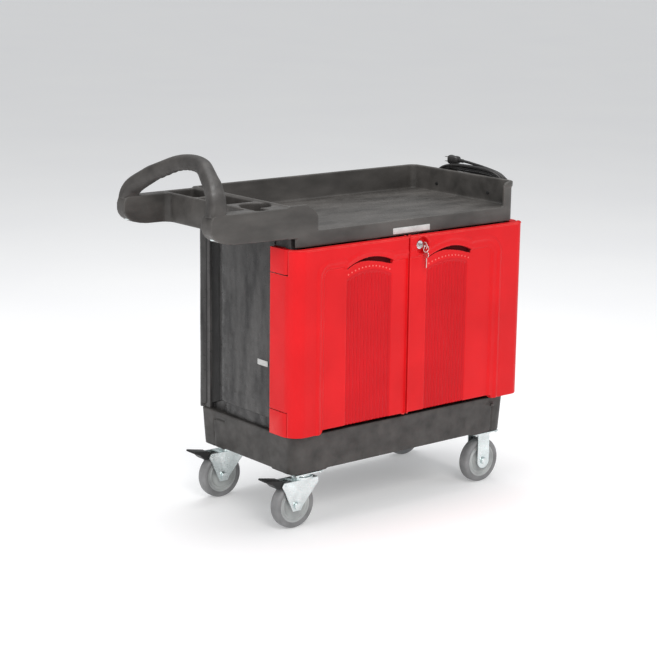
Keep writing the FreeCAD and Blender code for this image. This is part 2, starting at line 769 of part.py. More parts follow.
def swivel_caster(label, y):
    """Plate, kingpin, fork, wheel and foot brake of a swivel caster."""
    king_x = D.base_left + D.kingpin_in
    axle_x = king_x - D.trail
    top = D.plate_high
    under = top - D.plate_thick
    plate = span((king_x - D.plate_long / 2, y - D.plate_wide / 2, under),
                 (king_x + D.plate_long / 2, y + D.plate_wide / 2, top))
    race = cylinder(25, 8, (king_x, y, under - 8))
    seat = cylinder(6, 40, (king_x, y, top - 38))
    node(cut(fuse([plate, race]), [seat]), "caster_plate_" + label)
    node(fuse([cylinder(6, 21.7, (king_x, y, top - 21.7)),
               cylinder(10, 4.4, (king_x, y, top - 26.1))]), "kingpin_" + label)
    fork = new_body("fork_" + label)
    leg_side = y + D.fork_gap + D.fork_wall
    crown_z = under - 15
    for offset in (-1, 1):
        leg = sketch_on(fork, "XZ", "Leg")
        polygon(leg, [(axle_x - 13, D.wheel_thick - 14), (axle_x + 13, D.wheel_thick - 14),
                      (axle_x + 19, D.wheel_thick - 3), (king_x + 38, crown_z - 14),
                      (king_x + 37, crown_z), (king_x - 50, crown_z), (king_x - 76, crown_z + 1),
                      (king_x - 82, crown_z - 8), (king_x - 72, crown_z - 26),
                      (axle_x - 18, D.wheel_thick - 4)])
        shift = -leg_side if offset > 0 else -(y - D.fork_gap)
        bind(leg, "AttachmentOffset.Base.z", shift)
        feature(fork, "PartDesign::Pad", leg, D.fork_wall)
    crown = sketch_on(fork, "XY", "Crown")
    polygon(crown, [(king_x - 44, y - D.fork_gap - 1), (king_x + 37, y - D.fork_gap - 1),
                    (king_x + 37, y + D.fork_gap + 1), (king_x - 44, y + D.fork_gap + 1)])
    bind(crown, "AttachmentOffset.Base.z", crown_z - D.fork_wall)
    feature(fork, "PartDesign::Pad", crown, D.fork_wall)
    race_ring = sketch_on(fork, "XY", "RaceCup")
    circle(race_ring, (king_x, y), 29)
    bind(race_ring, "AttachmentOffset.Base.z", crown_z - 1)
    feature(fork, "PartDesign::Pad", race_ring, 7)
    holes = sketch_on(fork, "XY", "KingpinHole")
    circle(holes, (king_x, y), 6 + D.run_gap)
    bind(holes, "AttachmentOffset.Base.z", crown_z - 10)
    feature(fork, "PartDesign::Pocket", holes, 30, back=True)
    across = sketch_on(fork, "XZ", "AxleHole")
    circle(across, (axle_x, D.wheel_thick), D.axle_thick)
    feature(fork, "PartDesign::Pocket", across, 600).Midplane = True
    pivot_x, pivot_z = king_x - 72, crown_z - 6
    pins = sketch_on(fork, "XZ", "PedalHole")
    circle(pins, (pivot_x, pivot_z), 3)
    feature(fork, "PartDesign::Pocket", pins, 600).Midplane = True
    pin = cylinder(3, D.fork_gap * 2 + D.fork_wall * 2,
                   (pivot_x, y - D.fork_gap - D.fork_wall, pivot_z), "Y")
    axle(label, axle_x, y, [pin])
    wheel(label, axle_x, y)
    pedal = new_body("brake_pedal_" + label)
    side = sketch_on(pedal, "XZ", "Side")
    polygon(side, [(pivot_x + 7, pivot_z + 5), (pivot_x - 6, pivot_z + 12),
                   (pivot_x - 58, pivot_z + 22), (pivot_x - 60, pivot_z + 17.5),
                   (pivot_x - 38, pivot_z + 8), (pivot_x - 22, pivot_z - 7),
                   (pivot_x - 8, pivot_z - 7.5), (pivot_x + 5, pivot_z - 2)])
    bind(side, "AttachmentOffset.Base.z", -(y + D.fork_gap - 1))
    feature(pedal, "PartDesign::Pad", side, D.fork_gap * 2 - 2)
    eye = sketch_on(pedal, "XZ", "Eye")
    circle(eye, (pivot_x, pivot_z), 3 + D.run_gap)
    feature(pedal, "PartDesign::Pocket", eye, 600).Midplane = True


def rigid_caster(label, y):
    """Fixed fork with its plate, and its wheel."""
    x = D.base_left + D.rigid_in
    top = D.plate_high
    under = top - D.plate_thick
    plate = span((x - D.plate_long / 2, y - D.plate_wide / 2, under),
                 (x + D.plate_long / 2, y + D.plate_wide / 2, top))
    fork = [plate]
    for low_y in (y - D.fork_gap - D.fork_wall, y + D.fork_gap):
        fork.append(span((x - 22, low_y, D.wheel_thick), (x + 22, low_y + D.fork_wall, under + 1)))
        fork.append(cylinder(22, D.fork_wall, (x, low_y, D.wheel_thick), "Y"))
    hole = cylinder(D.axle_thick, 80, (x, y - 40, D.wheel_thick), "Y")
    node(cut(fuse(fork), [hole]), "rigid_fork_" + label)
    axle(label, x, y)
    wheel(label, x, y)


def caster_bolts(caster_places):
    """Four bolts through each caster plate, heads below."""
    parts = []
    for x, y in caster_places:
        for sx in (-1, 1):
            for sy in (-1, 1):
                bx = x + sx * (D.plate_long / 2 - 8)
                by = y + sy * (D.plate_wide / 2 - 3.8)
                parts.append(cylinder(3.7, 3, (bx, by, D.plate_high - D.plate_thick - 3)))
    node(group(parts), "caster_bolts")


def outlet_box():
    """Power outlet box on the far end panel, its outlets, switch and cord gland."""
    wall_x = base_right
    y1 = middle_y - D.box_long / 2
    y2 = middle_y + D.box_long / 2
    z1 = D.box_low
    case = rounded(span((wall_x, y1, z1), (wall_x + D.box_deep, y2, z1 + D.box_tall)),
                   Dim.of(5), lambda e: e.BoundBox.XMin > (wall_x + D.box_deep).value - 0.01)
    face = wall_x + D.box_deep
    pockets = []
    inserts = []
    for n in (0, 1):
        cy = y1 + 42 + n * 48
        pockets.append(cylinder(17, 8, (face - 7, cy, z1 + D.box_tall / 2), "X"))
        insert = cylinder(17, 6.4, (face - 7, cy, z1 + D.box_tall / 2), "X")
        slots = [span((face - 4, cy - 7.3, z1 + D.box_tall / 2 - 1),
                      (face + 2, cy - 5.3, z1 + D.box_tall / 2 + 8)),
                 span((face - 4, cy + 5.3, z1 + D.box_tall / 2 - 1),
                      (face + 2, cy + 7.3, z1 + D.box_tall / 2 + 7)),
                 cylinder(2.6, 6, (face - 4, cy, z1 + D.box_tall / 2 - 8), "X")]
        inserts.append(cut(insert, slots))
    sw_y = y2 - 18
    pockets.append(span((face - 9, sw_y - 7, z1 + 24), (face + 1, sw_y + 7, z1 + 46)))
    node(cut(case, pockets), "outlet_box")
    node(group(inserts), "outlet_inserts")
    rocker = span((face - 5, sw_y - 6.5, z1 + 24.5), (face + 2.5, sw_y + 6.5, z1 + 45.5))
    valley = cylinder(40, 14, (face + 41.2, sw_y - 7, z1 + 35), "Y")
    node(cut(rocker, [valley]), "rocker_switch")
    gland = doc.addObject("Part::Cone", "Gland")
    gland.Radius1 = 7
    gland.Radius2 = 5
    gland.Height = 22
    place(gland, (wall_x + D.box_deep / 2, y1 + 20, z1 + D.box_tall))
    doc.recompute()
    node(gland, "strain_relief")
    return (wall_x + D.box_deep / 2, y1 + 20, z1 + D.box_tall + 22)


def cord_hooks():
    """Two J hooks screwed to the outside of the far wall, which hold the coil."""
    parts = []
    screws = []
    for y in hook_places():
        x = tray_right
        plate = span((x, y - 14, D.hook_high - 30), (x + 5, y + 14, D.hook_high + 24))
        arm = span((x + 4, y - 9, D.hook_high + 5), (x + 58, y + 9, D.hook_high + 12))
        tip = span((x + 53, y - 9, D.hook_high + 11), (x + 58, y + 9, D.hook_high + 36))
        hook = cut(fuse([plate, arm, tip]),
                   [cylinder(2.5, 30, (x - 10, y, D.hook_high), "X")])
        parts.append(hook)
        screws.append(fuse([cylinder(2.5, D.tray_wall + 5, (x - D.tray_wall, y, D.hook_high), "X"),
                            cylinder(5, 2.5, (x - D.tray_wall - 2.5, y, D.hook_high), "X")]))
    node(group(parts), "cord_hooks")
    node(group(screws), "hook_screws")


def oval(centre, half_long, half_tall, deep):
    """A disc in the YZ plane with blunt ends, starting at centre and reaching along +X."""
    rim = []
    for i in range(24):
        angle = 2 * math.pi * i / 24
        bulge = 1 + COIL_BLUNTNESS * math.sin(angle) ** 2
        rim.append(centre + FreeCAD.Vector(0, -half_long * math.sin(angle),
                                           -half_tall * math.cos(angle) * bulge))
    curve = Part.BSplineCurve()
    curve.interpolate(rim, PeriodicFlag=True)
    face = Part.Face(Part.Wire([curve.toShape()]))
    return face.extrude(FreeCAD.Vector(deep, 0, 0))


def plug_place():
    """Where the plug's cord end starts along Y, and the height of its middle."""
    return (D.base_front + D.coil_near + 62, D.coil_high + D.coil_half_tall + 5)


def cord_coil():
    """Outer shape of the wound cord: a thick oval ring resting on the hooks."""
    start = FreeCAD.Vector((tray_right + D.coil_off).value,
                           (D.base_front + D.coil_near).value, D.coil_high.value)
    long = D.coil_half_long.value
    tall = D.coil_half_tall.value
    bundle = D.coil_bundle.value
    deep = D.coil_deep.value
    ring = oval(start, long, tall, deep).cut(
        oval(start - FreeCAD.Vector(1, 0, 0), long - bundle, tall - bundle, deep + 2))
    plug_y, plug_z = (v.value for v in plug_place())
    nest = Part.makeBox(deep + 2, 62, 30, FreeCAD.Vector(start.x - 1, plug_y - 18, plug_z - 13.3))
    coil = doc.addObject("Part::Feature", "cord_coil")
    coil.Shape = ring.cut(nest)
    return node(coil, "cord_coil")


def cord_route(points):
    """Straight runs joined by tangent arcs, each as large as its two runs allow."""
    edges = []
    here = points[0]
    radii = []
    for before, corner, after in zip(points, points[1:], points[2:]):
        into = (corner - before).normalize()
        out = (after - corner).normalize()
        half_turn = into.getAngle(out) / 2
        run = min((corner - before).Length, (after - corner).Length)
        reach = 0.45 * run
        radii.append(reach / math.tan(half_turn))
        start = corner - into * reach
        end = corner + out * reach
        bisector = (out - into).normalize()
        centre = corner + bisector * (radii[-1] / math.cos(half_turn))
        middle = centre - bisector * radii[-1]
        if (start - here).Length > 1e-6:
            edges.append(Part.LineSegment(here, start).toShape())
        edges.append(Part.Arc(start, middle, end).toShape())
        here = end
    edges.append(Part.LineSegment(here, points[-1]).toShape())
    return Part.Wire(edges), radii


def tube(label, points):
    """Round cord along a route; its volume is compared with section times length."""
    wire, radii = cord_route(points)
    radius = D.cord_thick.value / 2
    along = (points[1] - points[0]).normalize()
    profile = Part.Wire([Part.Circle(points[0], along, radius).toShape()])
    solid = wire.makePipeShell([profile], True, False)
    ideal = math.pi * radius ** 2 * wire.Length
    print(label, "radii", [round(r, 1) for r in radii], "length", round(wire.Length, 1),
          "volume ratio", round(solid.Volume / ideal, 4))
    item = doc.addObject("Part::Feature", label)
    item.Shape = solid
    return node(item, label)


def cord_and_plug(gland_top):
    """The lead from the gland up to the coil, and the plug that lies on the coil."""
    gx, gy, gz = (v.value for v in gland_top)
    coil_x = (tray_right + D.coil_off + D.coil_deep / 2).value
    coil_y = (D.base_front + D.coil_near).value
    rises = [(0, 0, 0), (0, 0, 32), (1, -2, 64), (2.5, -11, 92), (3.5, -32, 113), (3.5, -54, 129)]
    route = [FreeCAD.Vector(gx + x, gy + y, gz + z) for x, y, z in rises]
    tube("cord_lead", route)
    plug_y, plug_z = (v.value for v in plug_place())
    plug = rounded(box((26, 38, 26), (coil_x - 13, plug_y, plug_z - 13)), Dim.of(5),
                   lambda e: e.BoundBox.YLength > 20)
    sleeve = cylinder(5.5, 18, (coil_x, plug_y - 17, plug_z), "Y")
    node(fuse([plug, sleeve]), "plug_body")
    blades = [span((coil_x - 6.5, plug_y + 38, plug_z + dz - 0.8),
                   (coil_x + 0.5, plug_y + 55, plug_z + dz + 0.8)) for dz in (-6.35, 6.35)]
    blades.append(cylinder(2.4, 19, (coil_x + 8, plug_y + 38, plug_z), "Y"))
    node(group(blades), "plug_blades")


def panel_screws():
    """Screws that hold the end and rear panels to the base and tray."""
    parts = []
    for x in (D.base_left + 12, base_right - 12):
        for z in (D.deck_high + 60, D.tray_low - 60):
            parts.append(cylinder(5, 2.5, (x, base_rear - 1, z), "Y"))
    node(group(parts), "panel_screws")


def build():
    base_shelf()
    top_tray()
    push_handle()
    handle_bolts()
    end_panel("left_end_panel", -1)
    end_panel("right_end_panel", 1)
    rear_panel()
    panel_screws()
    for side, word in ((-1, "left"), (1, "right")):
        door("door_" + word, side)
        hinge_block(f"hinge_block_{word}_upper", side, True)
        hinge_block(f"hinge_block_{word}_lower", side, False)
        hinge_pins("hinge_pins_" + word, side)
    lock_parts()
    door_catches()
    near = D.base_front + D.wheel_inset
    far = base_rear - D.wheel_inset
    swivel_caster("front_swivel", near)
    swivel_caster("rear_swivel", far)
    rigid_caster("front_rigid", near)
    rigid_caster("rear_rigid", far)
    places = [(D.base_left + part, y) for part in (D.kingpin_in, D.rigid_in) for y in (near, far)]
    caster_bolts(places)
    gland_top = outlet_box()
    cord_hooks()
    cord_coil()
    cord_and_plug(gland_top)


def export():
    doc.recompute()
    broken = [o.Name for o in doc.Objects if "Invalid" in o.State or "Error" in o.State]
    if broken:
        raise RuntimeError(f"failed objects: {broken}")
    for item in NODES:
        shape = item.Shape
        if shape.isNull() or not shape.isValid():
            raise RuntimeError(f"bad shape: {item.Label}")
        shape.exportStep(f"parts/{item.Label}.step")
        bounds = shape.BoundBox
        print(f"{item.Label:26s} solids {len(shape.Solids)} volume {shape.Volume / 1000:9.1f} cm3",
              [round(v, 1) for v in (bounds.XMin, bounds.YMin, bounds.ZMin,
                                     bounds.XMax, bounds.YMax, bounds.ZMax)])


build()
export()
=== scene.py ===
import json
import math
import bmesh
import bpy
import numpy as np
from mathutils import Matrix, Vector

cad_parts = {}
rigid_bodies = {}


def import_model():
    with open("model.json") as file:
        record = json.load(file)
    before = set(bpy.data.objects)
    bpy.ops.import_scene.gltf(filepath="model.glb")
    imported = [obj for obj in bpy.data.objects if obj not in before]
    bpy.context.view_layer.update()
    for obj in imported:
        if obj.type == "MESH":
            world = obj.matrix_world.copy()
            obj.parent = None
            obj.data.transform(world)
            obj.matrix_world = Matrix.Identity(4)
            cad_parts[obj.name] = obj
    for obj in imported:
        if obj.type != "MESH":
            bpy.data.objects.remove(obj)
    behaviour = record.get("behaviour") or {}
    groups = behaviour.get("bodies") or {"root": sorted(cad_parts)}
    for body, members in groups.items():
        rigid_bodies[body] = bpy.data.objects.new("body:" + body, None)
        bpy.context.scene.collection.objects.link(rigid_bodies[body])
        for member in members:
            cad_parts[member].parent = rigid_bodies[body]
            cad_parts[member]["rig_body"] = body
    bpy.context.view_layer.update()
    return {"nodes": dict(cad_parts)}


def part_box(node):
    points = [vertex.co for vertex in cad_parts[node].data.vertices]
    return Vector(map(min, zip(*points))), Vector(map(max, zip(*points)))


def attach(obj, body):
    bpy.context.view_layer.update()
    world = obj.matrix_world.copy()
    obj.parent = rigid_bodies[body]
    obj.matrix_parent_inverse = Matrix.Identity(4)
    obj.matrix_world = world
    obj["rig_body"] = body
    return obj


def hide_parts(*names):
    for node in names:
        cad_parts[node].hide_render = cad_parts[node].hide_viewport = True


# Looks for the housekeeping cart. Lengths in helper calls are millimetres from the front
# left corner of the cart's base (X right, Y to the rear) and from the floor (Z).

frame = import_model()
base_low, base_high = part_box("base_shelf")

CAMERA_TURN = (39.176, 12.891, 0.713)      # yaw, pitch and roll in degrees
CAMERA_PLACE = (-2779.8, -3553.4, 1582.2)
CAMERA_LENS = 99.3
SKIRT_TOP = 254
SKIRT_SLOPE = 3                            # degrees from plumb
REAR_GROWTH = 0.006                        # metres, faded in over REAR_FADE
REAR_FADE = 0.015
RIGHT_WIDENING = 0.014                     # metres the right hinge blocks reach further out
BLOCK_FRONT = 9.5
FLOOR_REACH = 45                           # metres either way
FLOOR_GLOW = 0.24
WORLD_GLOW = 0.50


def at(x, y, z):
    return Vector((base_low.x + x / 1000, base_low.y + y / 1000, z / 1000))


# ---------------------------------------------------------------- camera and light

def make_camera():
    yaw, pitch, roll = (math.radians(a) for a in CAMERA_TURN)
    forward = Vector((math.sin(yaw) * math.cos(pitch), math.cos(yaw) * math.cos(pitch),
                      -math.sin(pitch)))
    right = Vector((math.cos(yaw), -math.sin(yaw), 0))
    up = right.cross(forward)
    level = right * math.cos(roll) + up * math.sin(roll)
    up = up * math.cos(roll) - right * math.sin(roll)
    data = bpy.data.cameras.new("camera")
    data.sensor_width = 36
    data.lens = CAMERA_LENS
    data.clip_end = 150
    camera = bpy.data.objects.new("camera", data)
    bpy.context.scene.collection.objects.link(camera)
    turn = Matrix((level, up, -forward)).transposed().to_4x4()
    camera.matrix_world = Matrix.Translation(at(*CAMERA_PLACE)) @ turn
    bpy.context.scene.camera = camera


def area_light(name, where, target, size, power, tint=(1, 1, 1)):
    data = bpy.data.lights.new(name, "AREA")
    data.shape = "RECTANGLE"
    data.size, data.size_y = size
    data.energy = power
    data.color = tint
    lamp = bpy.data.objects.new(name, data)
    bpy.context.scene.collection.objects.link(lamp)
    lamp.location = where
    lamp.rotation_euler = (Vector(target) - Vector(where)).to_track_quat("-Z", "Y").to_euler()


# ---------------------------------------------------------------- materials

def new_material(name, color, rough, metal=0.0):
    made = bpy.data.materials.new(name)
    made.use_nodes = True
    shader = made.node_tree.nodes["Principled BSDF"]
    shader.inputs["Base Color"].default_value = (*color, 1)
    shader.inputs["Roughness"].default_value = rough
    shader.inputs["Metallic"].default_value = metal
    return made, made.node_tree.nodes, made.node_tree.links, shader


def noise(nodes, links, scale, detail=3.0, stretch=(1, 1, 1)):
    """Noise in the object's own coordinates; scale is features per metre."""
    coords = nodes.new("ShaderNodeTexCoord")
    mapping = nodes.new("ShaderNodeMapping")
    mapping.inputs["Scale"].default_value = stretch
    texture = nodes.new("ShaderNodeTexNoise")
    texture.inputs["Scale"].default_value = scale
    texture.inputs["Detail"].default_value = detail
    links.new(coords.outputs["Object"], mapping.inputs["Vector"])
    links.new(mapping.outputs["Vector"], texture.inputs["Vector"])
    return texture.outputs["Fac"]


def ramp(nodes, links, source, low, high, start=0.3, end=0.7):
    """Two colours spread over a range of the source."""
    made = nodes.new("ShaderNodeValToRGB")
    made.color_ramp.elements[0].position = start
    made.color_ramp.elements[1].position = end
    made.color_ramp.elements[0].color = (*low, 1)
    made.color_ramp.elements[1].color = (*high, 1)
    links.new(source, made.inputs["Fac"])
    return made.outputs["Color"]


def spread(nodes, links, source, low, high):
    made = nodes.new("ShaderNodeMapRange")
    made.inputs["From Min"].default_value = 0.3
    made.inputs["From Max"].default_value = 0.7
    made.inputs["To Min"].default_value = low
    made.inputs["To Max"].default_value = high
    links.new(source, made.inputs["Value"])
    return made.outputs["Result"]


def bumps(nodes, links, shader, layers):
    """Stack bump layers, each a source with its height in metres."""
    last = None
    for source, height in layers:
        made = nodes.new("ShaderNodeBump")
        made.inputs["Strength"].default_value = 1.0
        made.inputs["Distance"].default_value = height
        links.new(source, made.inputs["Height"])
        if last is not None:
            links.new(last, made.inputs["Normal"])
        last = made.outputs["Normal"]
    links.new(last, shader.inputs["Normal"])


def moulded(name, dark, light, rough, grain, grain_height, cloud=7.0, wear=None, smudge=0.0,
            stretch=(1, 1, 1)):
    """Moulded plastic: fine grain, cloudy colour, uneven gloss and pale rubbed edges."""
    made, nodes, links, shader = new_material(name, light, rough)
    clouds = noise(nodes, links, cloud, 5.0, stretch)
    color = ramp(nodes, links, clouds, dark, light)
    if wear:
        geometry = nodes.new("ShaderNodeNewGeometry")
        edges = ramp(nodes, links, geometry.outputs["Pointiness"], (0, 0, 0), (1, 1, 1),
                     0.53, 0.60)
        patchy = noise(nodes, links, 60.0, 4.0)
        worn = nodes.new("ShaderNodeMath")
        worn.operation = "MULTIPLY"
        links.new(edges, worn.inputs[0])
        links.new(patchy, worn.inputs[1])
        blend = nodes.new("ShaderNodeMix")
        blend.data_type = "RGBA"
        links.new(worn.outputs[0], blend.inputs[0])
        links.new(color, blend.inputs[6])
        blend.inputs[7].default_value = (*wear, 1)
        color = blend.outputs[2]
    links.new(color, shader.inputs["Base Color"])
    gloss = noise(nodes, links, cloud * 2.3, 5.0)
    links.new(spread(nodes, links, gloss, rough - 0.06 - smudge, rough + 0.06 + smudge),
              shader.inputs["Roughness"])
    shader.inputs["Specular IOR Level"].default_value = 0.22 if "red" in name else 0.34
    bumps(nodes, links, shader, [(noise(nodes, links, grain, 2.0), grain_height),
                                 (noise(nodes, links, grain * 3.1, 2.0), grain_height * 0.4)])
    return made


def metal(name, color, rough, scratch=(1, 1, 1), scale=90.0, spangle=None):
    """Plated or bright metal with fine scratches and a cloudy sheen."""
    made, nodes, links, shader = new_material(name, color, rough, 1.0)
    shade = noise(nodes, links, 35.0, 4.0)
    dim = tuple(c * 0.78 for c in color)
    links.new(ramp(nodes, links, shade, dim, color), shader.inputs["Base Color"])
    lines = noise(nodes, links, scale, 3.0, scratch)
    links.new(spread(nodes, links, lines, rough - 0.07, rough + 0.09),
              shader.inputs["Roughness"])
    bumps(nodes, links, shader, [(lines, 0.00006)])
    return made


MATERIALS = {
    "red": moulded("red_moulding", (0.63, 0.004, 0.007), (0.76, 0.007, 0.011), 0.42,
                   260.0, 0.00035, 5.0, (0.85, 0.10, 0.09)),
    # painted shadow: near-black red put inside the finger pull, where its brow shades it
    "red_pull_painted_shadow": moulded("red_in_shadow", (0.075, 0.0005, 0.002), (0.12, 0.001, 0.004), 0.8,
                        260.0, 0.0003, 9.0),
    # painted shade: a darker red for the ribbed field, standing in for the shade of its grooves
    "red_rib_painted_shade": moulded("red_ribs", (0.54, 0.003, 0.007), (0.64, 0.004, 0.010), 0.42,
                       260.0, 0.00035, 5.0),
    # painted highlight: a pale pink for the small domes, standing in for the light they catch
    "red_dot_painted_highlight": moulded("red_dots", (0.86, 0.13, 0.12), (0.90, 0.18, 0.16), 0.3,
                       400.0, 0.00005, 9.0),
    "black": moulded("black_moulding", (0.036, 0.033, 0.031), (0.070, 0.065, 0.061), 0.46,
                     420.0, 0.00030, 26.0, (0.17, 0.16, 0.15), 0.06),
    "tray": moulded("tray_moulding", (0.044, 0.041, 0.038), (0.098, 0.091, 0.085), 0.45,
                    420.0, 0.00026, 18.0, (0.22, 0.21, 0.20), 0.10, (0.4, 1, 1)),
    "panel": moulded("panel_moulding", (0.018, 0.017, 0.017), (0.082, 0.079, 0.077), 0.38,
                     300.0, 0.00028, 30.0, (0.16, 0.15, 0.15), 0.12, (1, 1, 0.25)),
    # painted shade: a darker plastic for the hollow in front of the rear post, where shade falls
    "panel_painted_shade": moulded("panel_hollow_painted_shade", (0.010, 0.0095, 0.0095), (0.026, 0.025, 0.024), 0.42,
                         300.0, 0.00025, 9.0, None, 0.08, (1, 1, 0.3)),
    "pedal": moulded("pedal_plastic", (0.010, 0.010, 0.010), (0.022, 0.022, 0.022), 0.5,
                     500.0, 0.0001),
    "outlet": moulded("outlet_plastic", (0.018, 0.018, 0.018), (0.030, 0.030, 0.030), 0.42,
                      600.0, 0.0001),
    "insert": moulded("outlet_insert", (0.045, 0.045, 0.045), (0.06, 0.06, 0.06), 0.3,
                      600.0, 0.00003),
    "rubber": moulded("cord_rubber", (0.016, 0.015, 0.015), (0.040, 0.038, 0.037), 0.34,
                      700.0, 0.00008),
    "tyre": moulded("grey_tyre", (0.17, 0.17, 0.172), (0.26, 0.26, 0.262), 0.55,
                    300.0, 0.00014, 25.0, (0.34, 0.34, 0.34), 0.05),
    "hub": moulded("grey_hub", (0.31, 0.32, 0.32), (0.48, 0.50, 0.49), 0.42, 400.0,
                   0.00006, 20.0),
    "zinc": metal("zinc_plate", (0.80, 0.87, 0.87), 0.30, (1, 1, 3)),
    "chrome": metal("lock_chrome", (0.80, 0.80, 0.82), 0.14, (4, 1, 4), 300.0),
    "nickel": metal("key_nickel", (0.74, 0.72, 0.68), 0.28, (1, 1, 6), 400.0),
    "blade": metal("blade_metal", (0.30, 0.29, 0.27), 0.35, (1, 4, 1), 400.0),
    "label": moulded("label_plate", (0.50, 0.50, 0.49), (0.62, 0.62, 0.61), 0.3, 900.0,
                     0.00002, 40.0),
}


# ---------------------------------------------------------------- mesh helpers

def smooth_faces(mesh, angle=40):
    for face in mesh.polygons:
        face.use_smooth = True
    mesh.set_sharp_from_angle(angle=math.radians(angle))


def finish_piece(piece, look, body, angle=40):
    piece.data.materials.clear()
    piece.data.materials.append(MATERIALS[look])
    if piece.type == "MESH":
        smooth_faces(piece.data, angle)
    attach(piece, body)
    return piece


def from_mesh(name, verts, faces):
    mesh = bpy.data.meshes.new(name)
    mesh.from_pydata([tuple(v) for v in verts], [], [tuple(f) for f in faces])
    mesh.update()
    piece = bpy.data.objects.new(name, mesh)
    bpy.context.scene.collection.objects.link(piece)
    return piece


def bake(piece):
    """Turn the modifiers of a piece into its mesh."""
    bpy.context.view_layer.update()
    graph = bpy.context.evaluated_depsgraph_get()
    made = bpy.data.meshes.new_from_object(piece.evaluated_get(graph))
    piece.modifiers.clear()
    piece.data = made
    return piece


def recalc(piece):
    work = bmesh.new()
    work.from_mesh(piece.data)
    bmesh.ops.recalc_face_normals(work, faces=work.faces)
    work.to_mesh(piece.data)
    work.free()


def copy_node(name, new_name):
    """A new piece with the same mesh as a CAD node."""
    piece = bpy.data.objects.new(new_name, frame["nodes"][name].data.copy())
    bpy.context.scene.collection.objects.link(piece)
    return piece


def polish(name, look, width=1.2, segments=3, angle=35):
    """Stand for a CAD node with a copy of it whose hard edges are rounded."""
    body = frame["nodes"][name]["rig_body"]
    piece = copy_node(name, name + "_detail")
    work = bmesh.new()
    work.from_mesh(piece.data)
    bmesh.ops.remove_doubles(work, verts=work.verts, dist=0.00002)
    bmesh.ops.dissolve_limit(work, angle_limit=math.radians(1.5), verts=work.verts,
                             edges=work.edges)
    work.to_mesh(piece.data)
    work.free()
    bevel = piece.modifiers.new("Bevel", "BEVEL")
    bevel.width = width / 1000
    bevel.segments = segments
    bevel.limit_method = "ANGLE"
    bevel.angle_limit = math.radians(angle)
    bevel.use_clamp_overlap = True
    bevel.harden_normals = False
    bake(piece)
    finish_piece(piece, look, body, 50)
    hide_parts(name)
    return piece


def paint(name, look):
    """Give a CAD node that stays as it is a procedural material."""
    node = frame["nodes"][name]
    node.data.materials.clear()
    node.data.materials.append(MATERIALS[look])


def cuboid(low, high):
    """Verts and faces of a box, in metres, from millimetre corners."""
    corners = [(x, y, z) for x in (low[0], high[0]) for y in (low[1], high[1])
               for z in (low[2], high[2])]
    faces = [(0, 1, 3, 2), (4, 6, 7, 5), (0, 4, 5, 1), (2, 3, 7, 6), (0, 2, 6, 4),
             (1, 5, 7, 3)]
    return [at(*c) for c in corners], faces


def prism(outline, low, high, plane="XY"):
    """A closed prism on an outline, between two levels of the third axis."""
    count = len(outline)

    def spot(a, b, level):
        return {"XY": at(a, b, level), "XZ": at(a, level, b), "YZ": at(level, a, b)}[plane]
    verts = [spot(a, b, level) for level in (low, high) for a, b in outline]
    faces = [tuple(range(count)), tuple(range(2 * count - 1, count - 1, -1))]
    faces += [(i, (i + 1) % count, (i + 1) % count + count, i + count)
              for i in range(count)]
    return verts, faces


def solid(name, parts):
    """One closed piece from a (verts, faces) pair, with outward normals."""
    piece = from_mesh(name, *parts)
    recalc(piece)
    return piece


def corner_points(x, y, radius, start, steps=8):
    """Quarter circle about (x, y) from the start angle, in degrees, anticlockwise."""
    return [(x + radius * math.cos(math.radians(start + 90 * i / steps)),
             y + radius * math.sin(math.radians(start + 90 * i / steps)))
            for i in range(steps + 1)]


def rounded_rect(x1, y1, x2, y2, radii):
    """Outline with a radius for each corner: low-left, low-right, high-right, high-left."""
    a, b, c, d = radii
    return (corner_points(x1 + a, y1 + a, a, 180) + corner_points(x2 - b, y1 + b, b, 270)
            + corner_points(x2 - c, y2 - c, c, 0) + corner_points(x1 + d, y2 - d, d, 90))


def combine(piece, other, operation):
    """Boolean with another piece, which is used up."""
    change = piece.modifiers.new("Boolean", "BOOLEAN")
    change.operation = operation
    change.solver = "EXACT"
    change.object = other
    bake(piece)
    bpy.data.objects.remove(other)
    return piece


def melt(piece, voxel, rounds, factor=0.5):
    """Remesh finely and relax, which rounds every edge as moulding does."""
    remesh = piece.modifiers.new("Remesh", "REMESH")
    remesh.mode = "VOXEL"
    remesh.voxel_size = voxel / 1000
    relax = piece.modifiers.new("Smooth", "SMOOTH")
    relax.factor = factor
    relax.iterations = rounds
    return bake(piece)


# ---------------------------------------------------------------- doors

def ease(t):
    t = np.clip(t, 0.0, 1.0)
    return t * t * (3 - 2 * t)


def fitted(points, degree=3):
    xs, zs = zip(*points)
    return np.poly1d(np.polyfit(xs, zs, degree))


DOORS = {
    "left": {"free": 370, "sign": 1, "ridge": (66, 80), "ribs": (161, 314),
             "slot": (160.5, 316), "dots": (165.6, 306.5),
             "arch": fitted([(160.5, 690), (199, 706), (255, 711), (285, 706.5), (316, 695.5)]),
             "dot_arch": fitted([(165.6, 672.6), (227, 687), (250, 687.5), (306.5, 671.7)], 2)},
    "right": {"free": 374, "sign": -1, "ridge": (704, 682), "ribs": (439, 587),
              "slot": (444, 597), "dots": (445, 590),
              "arch": fitted([(444, 692), (480, 705), (544, 710), (570, 705.5), (597, 694)]),
              "dot_arch": fitted([(445, 671.6), (500, 684.5), (536, 685), (590, 672)], 2)},
}


def pull_thickness(along):
    """Height of the finger pull's mouth: thin at one end, fullest past its middle."""
    along = np.clip(np.asarray(along, float), 0, 1)
    return 2.6 + 9.4 * ease((along - 0.12) / 0.6) - 3.0 * ease((along - 0.88) / 0.12)


